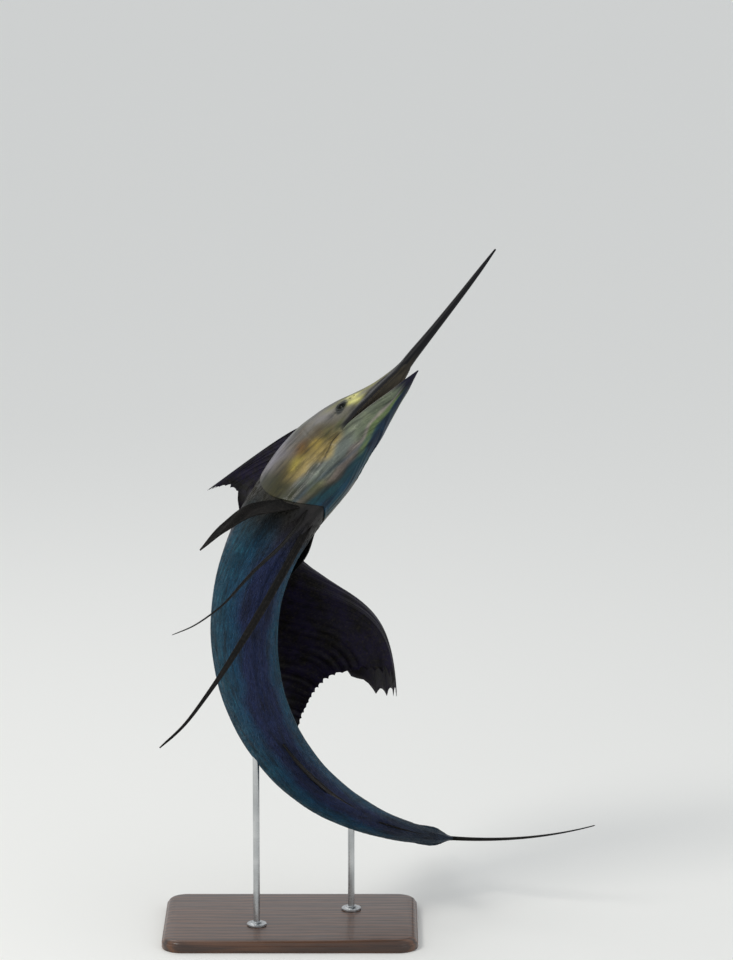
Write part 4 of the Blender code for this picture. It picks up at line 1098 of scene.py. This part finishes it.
def rayTree():
    tree, tools, given = startTree("fin_rays", {"Thickness": 1.0, "Sides": 8})
    paths = tools.add("GeometryNodeMeshToCurve", {"Mesh": given.outputs["Geometry"]})
    stored = tools.add("GeometryNodeInputNamedAttribute", {"Name": "thick"}, data_type="FLOAT")
    size = tools.math("MULTIPLY", stored.outputs[0], given.outputs["Thickness"])
    circle = tools.add("GeometryNodeCurvePrimitiveCircle", {
        "Resolution": given.outputs["Sides"], "Radius": 1.0})
    swept = tools.add("GeometryNodeCurveToMesh", {
        "Curve": paths.outputs[0], "Profile Curve": circle.outputs[0], "Scale": size, "Fill Caps": True})
    smooth = tools.add("GeometryNodeSetShadeSmooth", {"Geometry": swept.outputs[0]})
    return endTree(tree, tools, given, smooth)


finRays = rayTree()


def buildRays(name, lines, thick, material, places, sides=8):
    # lines: rays by rows of points, with the rods' half thickness at each
    count, rows = thick.shape
    index = np.arange(count * rows).reshape(count, rows)
    edges = np.stack([index[:, :-1], index[:, 1:]], -1).reshape(-1, 2)
    mesh = bpy.data.meshes.new(name)
    mesh.from_pydata(lines.reshape(-1, 3).tolist(), edges.tolist(), [])
    pointFloats(mesh, "thick", thick.ravel())
    pointFloats(mesh, "reach", places.ravel())
    piece = newPiece(name, mesh)
    made = bakeTree(piece, finRays, {"Thickness": 1.0, "Sides": sides, "Material": material})
    print(name, len(made.polygons), "faces of rays")
    return piece


sailForm = {
    # share of a ray's foot, its length, lean back, flop to the left, droop
    "stations": (
        (0.148, 0.194, 22, 0, 0.0), (0.170, 0.166, 22.5, 0, 0.0), (0.195, 0.134, 25.5, 3, 0.0),
        (0.220, 0.098, 31, 14, 0.0), (0.240, 0.086, 46, 44, 0.2), (0.257, 0.185, 62, 78, 1.0),
        (0.277, 0.330, 72, 92, 5.0), (0.302, 0.425, 82, 103, 14.0), (0.345, 0.410, 88, 113, 18.0),
        (0.385, 0.358, 88, 117, 10.0), (0.430, 0.285, 83, 116, 4.0), (0.500, 0.195, 72, 110, 1.4),
        (0.600, 0.130, 58, 100, 0.8), (0.680, 0.085, 46, 80, 0.0), (0.730, 0.055, 38, 60, 0.0),
    ),
    "first": 0.148,
    "last": 0.730,
    "rays": 46,
    "between": 5,
    "rows": 52,
    "sink": 0.006,
    "rise": 0.75,
    "root": 0.06,
    "arc": 0.22,
    "droopPower": 9,
    "membrane": 0.00045,
    "ray": 0.0021,
    "scallop": 0.030,
    "fray": 0.012,
    "calmFrom": (0.36, 0.46),  # shares past which the edge is less ragged
    "calm": 0.55,
    "rayEnd": 0.985,
    "billow": 0.0022,
    "seed": 7,
}


def sailRay(share, reach, rows):
    # world points of one ray, from the back outwards
    table, form = sailForm["stations"], sailForm
    total = column(table, 1, share) * length + form["sink"]
    lean, flop = [math.radians(float(column(table, k, share))) for k in (2, 3)]
    droop = float(column(table, 4, share))
    at, tail, back, right = [part[0] for part in spineAt(np.array([share * length]))]
    foot = at + back * (column(fishForm["body"], 1, share) * length - form["sink"])
    steps = 60
    place = ((np.arange(steps) + 0.5) / steps)[:, None] * total
    lean = lean + form["rise"] * (1 - lean * 2 / math.pi) * np.exp(-place / form["root"])
    turn = flop * np.clip(place / form["arc"], 0, 1)
    aim = (tail * np.cos(lean) + np.sin(lean) * (back * np.cos(turn) - right * np.sin(turn))
           + np.array((0, 0, -1.0)) * droop * (place / total) ** form["droopPower"])
    path = foot + np.concatenate([np.zeros((1, 3)), np.cumsum(unit(aim) * (total / steps), 0)])
    spots = np.linspace(0, 1, rows) ** 0.9 * steps * reach
    return np.stack([np.interp(spots, np.arange(steps + 1), path[:, k]) for k in range(3)], 1)


def buildSail(membrane, rod):
    form = sailForm
    gaps = form["rays"] - 1
    columns = gaps * form["between"] + 1
    spot = np.linspace(0, 1, columns)
    shares = form["first"] + (form["last"] - form["first"]) * spot
    inGap = (spot * gaps) % 1.0
    inGap[-1] = 0.0
    hang = 4 * inGap * (1 - inGap)
    which = np.minimum((spot * gaps).astype(int), gaps - 1)
    deep = unevenness(form["seed"], gaps, 0.4, 1.5)[which]
    torn = np.random.default_rng(form["seed"] + 1).uniform(0, 1, columns) * form["fray"] * (hang > 0)
    calm = 1 - form["calm"] * ease(*form["calmFrom"], shares)
    reach = 1 - form["scallop"] * hang * deep * calm - torn * hang * calm
    step = 0.001
    before, centre, after = [
        np.stack([sailRay(s + shift, r, form["rows"]) for s, r in zip(shares, reach)], 1)
        for shift in (-step, 0.0, step)]
    across = after - before
    normal = unit(np.cross(across, np.gradient(centre, axis=0)))
    rowPlace = np.linspace(0, 1, form["rows"])[:, None]
    sway = unevenness(form["seed"] + 2, gaps, -1, 1)[which] + 0.4 * np.sin(rowPlace * 9 + which)
    centre = centre + normal * (form["billow"] * hang * sway * ease(0.02, 0.3, rowPlace))[..., None]
    half = form["membrane"] * (1 - 0.4 * rowPlace) * (1 + 0 * spot)
    place = (spot[None, :] * gaps + 0 * rowPlace, rowPlace + 0 * spot)
    mesh = sheetMesh("sail_membrane", centre, half, across, place)
    tidyMesh(mesh)
    piece = newPiece("sail_membrane", mesh, membrane)
    settle(piece, "sail", "dorsal_front", "sail_front", "sail_middle", "sail_rear")
    rayShares = np.linspace(form["first"], form["last"], form["rays"])
    rayShares = np.clip(rayShares, form["first"] + 0.0006, form["last"] - 0.0006)
    lines = np.stack([sailRay(s, form["rayEnd"], form["rows"]) for s in rayShares])
    along = np.linspace(0, 1, form["rows"])[None, :]
    stout = form["ray"] * (1.0 - 0.25 * ease(0.18, 0.0, rayShares[:, None] - form["first"]))
    thick = stout * (1 - 0.80 * along**0.8) + 0.00025
    rays = buildRays("sail_rays", lines, thick, rod, along + 0 * thick)
    settle(rays, "sail")


def buildFlatFin(name, rays, rows, lead, trail, thick, materials, nodes):
    # a fin in the fish's middle plane, from its front edge to its rear edge
    membrane, rod = materials
    between = 5
    columns = (rays - 1) * between + 1
    spot = np.linspace(0, 1, columns)
    place = np.linspace(0, 1, rows)[:, None]
    front = np.concatenate([column(lead, 1, place), 0 * place, column(lead, 2, place)], 1)
    rear = np.concatenate([column(trail, 1, place), 0 * place, column(trail, 2, place)], 1)
    inGap = (spot * (rays - 1)) % 1.0
    hang = 4 * inGap * (1 - inGap)
    hang[-1] = 0
    centre = front[:, None] + (rear - front)[:, None] * spot[None, :, None]
    tipward = unit(np.gradient(centre, axis=0)) * 0.0035
    centre = centre - tipward * (hang[None, :] * ease(0.6, 1.0, place))[..., None]
    half = (thick * 0.35) * (1 - 0.7 * place) + 0.00025 + 0 * spot
    world = toWorld(centre * length)
    across = np.gradient(world, axis=1)
    mesh = sheetMesh(name, world, half, across, (spot * rays + 0 * place, place + 0 * spot))
    tidyMesh(mesh)
    piece = newPiece(name, mesh, membrane)
    settle(piece, "fin", *nodes)
    lines = world[:, ::between].transpose(1, 0, 2)
    along = place[:, 0][None, :]
    rods = thick * (1 - 0.5 * spot[::between][:, None]) * (1 - 0.85 * along) + 0.0003
    made = buildRays(name + "_rays", lines, rods, rod, along + 0 * rods)
    settle(made, "fin")


# Rays, rows, front edge and rear edge by height, share and side place, thickness, node
medianFins = {
    "dorsal_second": (7, 26, ((0, 0.838, 0.026), (0.5, 0.862, 0.052), (1, 0.892, 0.066)),
                      ((0, 0.885, 0.020), (0.5, 0.897, 0.038), (1, 0.915, 0.048)), 0.0019, ("dorsal_rear",)),
    "anal_second": (7, 26, ((0, 0.828, -0.026), (0.5, 0.852, -0.052), (1, 0.882, -0.066)),
                    ((0, 0.876, -0.020), (0.5, 0.888, -0.038), (1, 0.905, -0.048)), 0.0019, ("anal_rear",)),
    "anal_first": (13, 34, ((0, 0.600, -0.040), (0.35, 0.634, -0.082), (0.7, 0.668, -0.118),
                            (1, 0.706, -0.142)),
                   ((0, 0.722, -0.034), (0.35, 0.712, -0.062), (0.7, 0.711, -0.095), (1, 0.715, -0.139)),
                   0.0024, ("anal_front",)),
}

tailForm = {
    "spread": 0.192,
    "sweep": 0.128,
    "fork": 0.024,
    "end": 0.002,
    "stalkEnd": 0.9762,
    "rays": 12,
    "rows": 44,
}


def tailPlace(reach, side, spot):
    # world points of the tail fin and its half thickness, out along a lobe and back across its chord
    form = tailForm
    chord = form["fork"] + (form["end"] - form["fork"]) * reach**1.15
    x = form["stalkEnd"] + form["sweep"] * reach**1.35 + chord * spot
    z = side * form["spread"] * reach**1.05 * (1 - 0.06 * spot * (1 - reach))
    core = (0.0009 + 0.0040 * (1 - spot) ** 2) * (1 - 0.8 * reach) + 0.0004
    return toWorld(np.stack([x, 0 * x, z], -1) * length), core


def buildTail(membrane, rod):
    form = tailForm
    between = 4
    spot = np.linspace(0, 1, (form["rays"] - 1) * between + 1)
    span = np.linspace(-1, 1, 2 * form["rows"] + 1)[:, None]
    centre, half = tailPlace(np.abs(span), np.sign(span), spot)
    place = (spot * form["rays"] + 0 * span, span + 0 * spot)
    mesh = sheetMesh("tail_fin", centre, half, np.gradient(centre, axis=1), place)
    tidyMesh(mesh)
    piece = newPiece("tail_fin", mesh, membrane)
    settle(piece, "fin", "tail_fin_upper", "tail_fin_lower")
    lines, rods = [], []
    for side in (1, -1):
        along = np.linspace(0, 1, form["rows"])
        for ray in range(form["rays"]):
            part = along * (1 - 0.55 * (ray / form["rays"]) ** 1.5)  # rear rays stop short of the tip
            line, core = tailPlace(part, side, (ray + 0.25) / form["rays"] * (0.55 + 0.45 * part))
            lines.append(line)
            rods.append(core + 0.0006 * (1 - along))
    rods = np.array(rods)
    made = buildRays("tail_rays", np.array(lines), rods, rod, 0 * rods + np.linspace(0, 1, form["rows"]))
    settle(made, "fin")


pairedForm = {
    "pectoralRoot": (0.256, -0.72),
    "pectoralChord": ((0, 0.040), (0.25, 0.048), (0.6, 0.032), (0.85, 0.016), (1, 0.004)),
    "pelvicRoot": 0.252,
    "pelvicChord": ((0, 0.014), (0.4, 0.016), (0.6, 0.009), (0.8, 0.006), (0.92, 0.005), (1, 0.0025)),
    "pectoralRays": 16,
    "pelvicRays": 3,
    # steps along the body, outwards and up from the fin's root, in shares
    "pectoralPath": ((-0.006, -0.010, 0.0), (0.032, 0.035, 0.002), (0.080, 0.057, 0.006),
                     (0.126, 0.061, 0.014)),
    # the folded left fin: steps along the body, angle on its side, height over the skin
    "foldedPath": ((0.0, -0.72, -0.010), (0.052, -0.12, 0.009), (0.104, 0.20, 0.011), (0.150, 0.36, 0.010)),
    "pelvicPaths": {
        "left": ((-0.010, 0.0, 0.012), (0.070, 0.004, -0.016), (0.148, 0.008, -0.040),
                 (0.266, 0.016, -0.070), (0.336, 0.021, -0.078), (0.378, 0.030, -0.078)),
        "right": ((-0.010, 0.0, 0.012), (0.050, 0.026, -0.026), (0.106, 0.058, -0.056),
                  (0.173, 0.082, -0.078), (0.216, 0.110, -0.092), (0.238, 0.132, -0.100)),
    },
}


def buildBlade(name, path, chord, flat, rays, rows, thick, materials, node):
    membrane, rod = materials
    steps = np.linspace(0, 1, len(path))
    place = np.linspace(0, 1, rows)
    middle = np.stack([smoothCurve(steps, [p[k] for p in path], place) for k in range(3)], 1)
    aim = unit(np.gradient(middle, axis=0))
    across = unit(flat - (aim @ flat)[:, None] * aim)
    between = 6
    spot = np.linspace(0, 1, (rays - 1) * between + 1)
    inGap = (spot * (rays - 1)) % 1.0
    inGap[-1] = 0
    hang = 4 * inGap * (1 - inGap)
    width = column(chord, 1, place)[:, None]
    centre = middle[:, None] + across[:, None] * (width * (spot - 0.5))[..., None]
    normal = unit(np.cross(aim, across))[:, None]
    centre = centre + normal * (0.05 * width * hang * np.sin(place[:, None] * 7 + spot * 3))[..., None]
    slim = np.minimum(1.0, width / 0.012)
    half = thick * 0.28 * (1 - 0.7 * place[:, None]) * slim + 0.0003 + 0 * spot
    grid = (spot * rays + 0 * width, place[:, None] + 0 * spot)
    mesh = sheetMesh(name, centre, half, across[:, None] + 0 * centre, grid)
    tidyMesh(mesh)
    piece = newPiece(name, mesh, membrane)
    settle(piece, "fin", node)
    lines = centre[:, ::between].transpose(1, 0, 2)
    along = place[None, :]
    rods = thick * (1 - 0.45 * spot[::between][:, None]) * (1 - 0.8 * along) * slim[:, 0][None, :] + 0.0003
    made = buildRays(name + "_rays", lines, rods, rod, along + 0 * rods)
    settle(made, "fin")


def localPath(share, foot, offsets):
    at, tail, back, right = [part[0] for part in spineAt(np.array([share * length]))]
    start = at + right * foot[0] + back * foot[1]
    return [start + length * (tail * a + right * b + back * c) for a, b, c in offsets]


def buildPairedFins(materials):
    form, body = pairedForm, fishForm["body"]
    share, angle = form["pectoralRoot"]
    _, tail, back, right = [part[0] for part in spineAt(np.array([share * length]))]
    foot = (column(body, 3, share) * length * math.cos(angle),
            column(body, 2, share) * length * math.sin(angle))
    spreadOut = localPath(share, foot, form["pectoralPath"])
    folded = toWorld(np.array([
        section(share + reach, math.pi - turn, lift * length) for reach, turn, lift in form["foldedPath"]]))
    pectorals = (("right", spreadOut, back * 0.95 + right * 0.15 - tail * 0.1),
                 ("left", folded, back * 0.95 - right * 0.30))
    for word, path, flat in pectorals:
        buildBlade("pectoral_fin_" + word, path, form["pectoralChord"], flat, form["pectoralRays"], 40,
                   0.0022, materials, "pectoral_" + word)
    root = form["pelvicRoot"]
    _, tail, back, right = [part[0] for part in spineAt(np.array([root * length]))]
    for word, side in (("left", -1), ("right", 1)):
        foot = (side * 0.010, -column(body, 2, root) * length)
        path = localPath(root, foot, form["pelvicPaths"][word])
        flat = back * 0.6 - right * side * 0.8
        buildBlade("pelvic_fin_" + word, path, form["pelvicChord"], flat, form["pelvicRays"], 90,
                   0.0018, materials, "pelvic_" + word)


def finMaterials(name, colours, spots):
    # the wet membrane and its rays; colours run from root to edge
    made = []
    for part in ("membrane", "ray"):
        material, tools, shader = newMaterial(
            name + "_" + part, coat=0.04, coatRoughness=0.16, roughness=0.46, specular=0.09)
        spot = tools.add("ShaderNodeTexCoord").outputs["Object"]
        blotch = tools.add("ShaderNodeTexNoise", {
            "Vector": spot, "Scale": 22.0, "Detail": 6.0, "Roughness": 0.65})
        fine = tools.add("ShaderNodeTexNoise", {"Vector": spot, "Scale": 190.0, "Detail": 4.0})
        dark, mid, light = [linear(colour) for colour in colours[part]]
        base = tools.mix(tools.ramp(blotch.outputs["Fac"], 0.38, 0.62), dark, mid)
        base = tools.mix(tools.ramp(fine.outputs["Fac"], 0.50, 0.74, 0.0, 0.7), base, light)
        if part == "membrane":
            place = tools.add("ShaderNodeUVMap", uv_map="finPlace").outputs[0]
            if spots:
                lay = tools.add("ShaderNodeMapping", {"Vector": place, "Scale": (1.0, 15.0, 1.0)})
                cells = tools.add("ShaderNodeTexVoronoi", {"Vector": lay, "Scale": 1.0, "Randomness": 0.55})
                marks = tools.ramp(cells.outputs["Distance"], 0.17, 0.29, 0.85, 0.0)
                base = tools.mix(marks, base, linear(spots))
            lines = tools.add("ShaderNodeMapping", {"Vector": place, "Scale": (26.0, 3.0, 1.0)})
            weave = tools.add("ShaderNodeTexNoise", {"Vector": lines, "Scale": 1.0, "Detail": 4.0})
            height = tools.math("ADD", weave.outputs["Fac"], tools.math("MULTIPLY", fine.outputs["Fac"], 0.5))
            bump = tools.add("ShaderNodeBump", {"Height": height, "Strength": 0.35, "Distance": 0.0010})
        else:
            bump = tools.add("ShaderNodeBump", {
                "Height": fine.outputs["Fac"], "Strength": 0.3, "Distance": 0.0006})
        tools.feed(shader.inputs["Base Color"], base)
        tools.feed(shader.inputs["Normal"], bump)
        made.append(material)
    return made


sailPaint = {"membrane": ("#0d0b0a", "#171228", "#2a2620"), "ray": ("#0b0909", "#15112a", "#322d28")}
finPaint = {"membrane": ("#080807", "#110f0e", "#24211e"), "ray": ("#080808", "#141210", "#2c2a27")}


# Stand: a stained wooden base and two satin steel rods
standForm = {
    # height and inset of the base's moulded edge, from its underside up
    "size": (0.62, 0.40, 0.028),
    "corner": 0.05,
    "profile": ((0.0000, 0.0030), (0.0006, 0.0012), (0.0022, 0.0002), (0.0110, 0.0000), (0.0150, 0.0000),
                (0.0166, 0.0008), (0.0172, 0.0024), (0.0180, 0.0032), (0.0204, 0.0036), (0.0232, 0.0052),
                (0.0254, 0.0082), (0.0268, 0.0124), (0.0276, 0.0168), (0.0280, 0.0220)),
    "rodShares": (0.555, 0.80),
    "rodRadius": 0.008,
    "collarRadius": 0.024,
    "collarHeight": 0.010,
    "gap": 0.0003,
}


def turned(name, middle, profile, around, material):
    # a closed round piece from (height, radius) pairs, bottom to top
    turn = np.arange(around) * 2 * math.pi / around
    rings = [np.stack([middle[0] + r * np.cos(turn), middle[1] + r * np.sin(turn), np.full_like(turn, h)], 1)
             for h, r in profile]
    ends = [[(middle[0], middle[1], profile[place][0])] for place in (0, -1)]
    points = np.concatenate(rings + ends)
    index = np.arange(len(rings) * around).reshape(len(rings), around)
    after = np.roll(index, -1, 1)
    low, high = len(points) - 2, len(points) - 1
    faces = gridFaces(index, closed=True)
    faces += [(low, b, a) for a, b in zip(index[0], after[0])]
    faces += [(high, a, b) for a, b in zip(index[-1], after[-1])]
    mesh = newMesh(name, points, faces)
    tidyMesh(mesh)
    mesh.set_sharp_from_angle(angle=math.radians(38))
    return newPiece(name, mesh, material)


def woodMaterial():
    material, tools, shader = newMaterial("base_wood", coat=0.35, coatRoughness=0.16, roughness=0.42)
    spot = tools.add("ShaderNodeTexCoord").outputs["Object"]
    lay = tools.add("ShaderNodeMapping", {
        "Vector": spot, "Location": (0.3, 0.11, 0.42), "Rotation": (0.06, 0.03, 0.02),
        "Scale": (1.1, 9.0, 9.0)})
    bend = tools.add("ShaderNodeTexNoise", {"Vector": lay, "Scale": 1.6, "Detail": 3.0})
    rings = tools.add("ShaderNodeTexWave", {"Vector": lay, "Scale": 1.5, "Distortion": 7.0, "Detail": 3.0,
                                            "Detail Scale": 1.4}, wave_type="BANDS", bands_direction="Y")
    fibreLay = tools.add("ShaderNodeMapping", {"Vector": spot, "Scale": (14.0, 520.0, 520.0)})
    fibre = tools.add("ShaderNodeTexNoise", {"Vector": fibreLay, "Scale": 1.0, "Detail": 5.0})
    base = tools.mix(tools.ramp(rings.outputs["Fac"], 0.1, 0.9), linear("#3a2213"), linear("#6b4326"))
    base = tools.mix(tools.ramp(bend.outputs["Fac"], 0.35, 0.7, 0.0, 0.5), base, linear("#2b180e"))
    base = tools.mix(tools.ramp(fibre.outputs["Fac"], 0.45, 0.7, 0.0, 0.6), base, linear("#1f120a"))
    tools.feed(shader.inputs["Base Color"], base)
    tools.feed(shader.inputs["Roughness"], tools.ramp(fibre.outputs["Fac"], 0.3, 0.7, 0.34, 0.50))
    bump = tools.add("ShaderNodeBump", {"Height": fibre.outputs["Fac"], "Strength": 0.25, "Distance": 0.0004})
    tools.feed(shader.inputs["Normal"], bump)
    return material


def steelMaterial():
    material, tools, shader = newMaterial("rod_steel", metallic=1.0, roughness=0.3)
    spot = tools.add("ShaderNodeTexCoord").outputs["Object"]
    lay = tools.add("ShaderNodeMapping", {"Vector": spot, "Scale": (60.0, 60.0, 2200.0)})
    brushed = tools.add("ShaderNodeTexNoise", {"Vector": lay, "Scale": 1.0, "Detail": 3.0})
    cloud = tools.add("ShaderNodeTexNoise", {"Vector": spot, "Scale": 14.0, "Detail": 3.0})
    base = tools.mix(tools.ramp(cloud.outputs["Fac"], 0.35, 0.65), linear("#a9acae"), linear("#c9cbcc"))
    tools.feed(shader.inputs["Base Color"], base)
    tools.feed(shader.inputs["Roughness"], tools.ramp(brushed.outputs["Fac"], 0.3, 0.7, 0.22, 0.38))
    bump = tools.add("ShaderNodeBump", {
        "Height": brushed.outputs["Fac"], "Strength": 0.12, "Distance": 0.0002})
    tools.feed(shader.inputs["Normal"], bump)
    return material


def buildStand():
    wood, steel = woodMaterial(), steelMaterial()
    sizeX, sizeY, _ = standForm["size"]
    corner, steps = standForm["corner"], 14
    outline = []
    for quarter, (signX, signY) in enumerate(((1, 1), (-1, 1), (-1, -1), (1, -1))):
        for step in range(steps + 1):
            angle = (quarter + step / steps) * math.pi / 2
            outline.append((signX * (sizeX / 2 - corner) + corner * math.cos(angle),
                            signY * (sizeY / 2 - corner) + corner * math.sin(angle),
                            math.cos(angle), math.sin(angle)))
    outline = np.array(outline)
    rings = [np.column_stack([outline[:, :2] - outline[:, 2:] * inset, np.full(len(outline), height)])
             for height, inset in standForm["profile"]]
    count = len(outline)
    points = np.concatenate(rings)
    index = np.arange(len(points)).reshape(-1, count)
    faces = gridFaces(index, closed=True) + [index[0][::-1], index[-1]]
    mesh = newMesh("display_base", points, faces)
    tidyMesh(mesh, 1e-7)
    mesh.set_sharp_from_angle(angle=math.radians(35))
    settle(newPiece("display_base", mesh, wood), "base_wood", "stand_base")
    for word, share in zip(("front", "rear"), standForm["rodShares"]):
        node = "stand_rod_" + word
        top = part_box(node)[1][2]
        at = spineAt(np.array([share * length]))[0][0]
        foot = standForm["size"][2] + standForm["gap"]
        wide, tall, slim = standForm["collarRadius"], standForm["collarHeight"], standForm["rodRadius"]
        collar = ((0, wide - 0.0008), (0.06, wide), (0.45, wide), (0.55, wide - 0.0010), (0.62, wide * 0.72),
                  (0.78, wide * 0.55), (0.95, wide * 0.50), (1, wide * 0.46), (1, slim), (3, slim))
        profile = [(foot + part * tall, radius) for part, radius in collar] + [(top, slim)]
        settle(turned("display_rod_" + word, at, profile, 48, steel), "rod_steel", node)


# Floor, lights and camera
studio = {
    # lamps: place, size, power, colour; the aim is off the jaw's tip, across and up the view
    "floor": "#f2f2ef",
    "floorSize": 90.0,
    "distance": 10.0,
    "lens": 156.66,
    "aim": (-0.100, -0.276),
    "key": ((-3.2, -2.6, 4.6), 1.6, 120.0, (1.0, 0.97, 0.92)),
    "fill": ((3.8, -4.2, 2.2), 2.8, 18.0, (0.88, 0.94, 1.0)),
    "rim": ((-1.6, 3.4, 3.6), 1.6, 12.0, (1.0, 0.98, 0.95)),
    "sky": 0.80,
}


def buildStudio():
    half = studio["floorSize"] / 2
    corners = [(-half, -half, 0), (half, -half, 0), (half, half, 0), (-half, half, 0)]
    mesh = newMesh("studio_floor", corners, [(0, 1, 2, 3)])
    material, _, shader = newMaterial("studio_floor", roughness=0.75)
    shader.inputs["Base Color"].default_value = (*linear(studio["floor"]), 1.0)
    newPiece("studio_floor", mesh, material)
    focus = np.array((0.0, 0.0, 0.95))
    for name in ("key", "fill", "rim"):
        place, size, power, colour = studio[name]
        lamp = bpy.data.lights.new(name, "AREA")
        lamp.size, lamp.energy, lamp.color = size, power, colour
        light = bpy.data.objects.new(name, lamp)
        bpy.context.scene.collection.objects.link(light)
        light.location = place
        light.rotation_euler = Vector(focus - np.array(place)).to_track_quat("-Z", "Y").to_euler()
    world = bpy.data.worlds.new("studio")
    bpy.context.scene.world = world
    world.use_nodes = True
    background = world.node_tree.nodes["Background"]
    background.inputs[0].default_value = (0.86, 0.88, 0.90, 1)
    background.inputs[1].default_value = studio["sky"]
    bpy.context.scene.view_settings.view_transform = "Standard"
    tilt = math.radians(fishForm["pitch"])
    sightUp = np.array((0, math.sin(tilt), math.cos(tilt)))
    toViewer = np.array((0, -math.cos(tilt), math.sin(tilt)))
    aimX, aimUp = studio["aim"]
    target = np.array(fishForm["headAt"]) + np.array((aimX, 0, 0)) + sightUp * aimUp
    lens = bpy.data.cameras.new("camera")
    lens.lens, lens.sensor_width, lens.clip_end = studio["lens"], 36, 200
    camera = bpy.data.objects.new("camera", lens)
    bpy.context.scene.collection.objects.link(camera)
    camera.location = target + toViewer * studio["distance"]
    camera.rotation_euler = (math.pi / 2 - tilt, 0, 0)
    bpy.context.scene.camera = camera


skin = buildSkin(skinMaterial())
settle(skin, "body_skin", "bill", "head", "lower_jaw",
       "trunk_front", "trunk_middle", "trunk_rear", "tail_stalk")
print("skin:", len(skin.data.polygons), "faces")
buildScales(skin, skin.data.materials[0])
eyeCoat = eyeMaterial()
buildEye("eyeball_right", 1, eyeCoat)
buildEye("eyeball_left", -1, eyeCoat)
print("eyes made")
sailMembrane, sailRod = finMaterials("sail", sailPaint, "#0b0a12")
finMembrane, finRod = finMaterials("fin", finPaint, None)
buildSail(sailMembrane, sailRod)
for finName, (rays, rows, lead, trail, thick, nodes) in medianFins.items():
    buildFlatFin(finName, rays, rows, lead, trail, thick, (finMembrane, finRod), nodes)
buildTail(finMembrane, finRod)
buildPairedFins((finMembrane, finRod))
print("fins made")
buildStand()
print("stand made")
buildStudio()

print("scene ready")
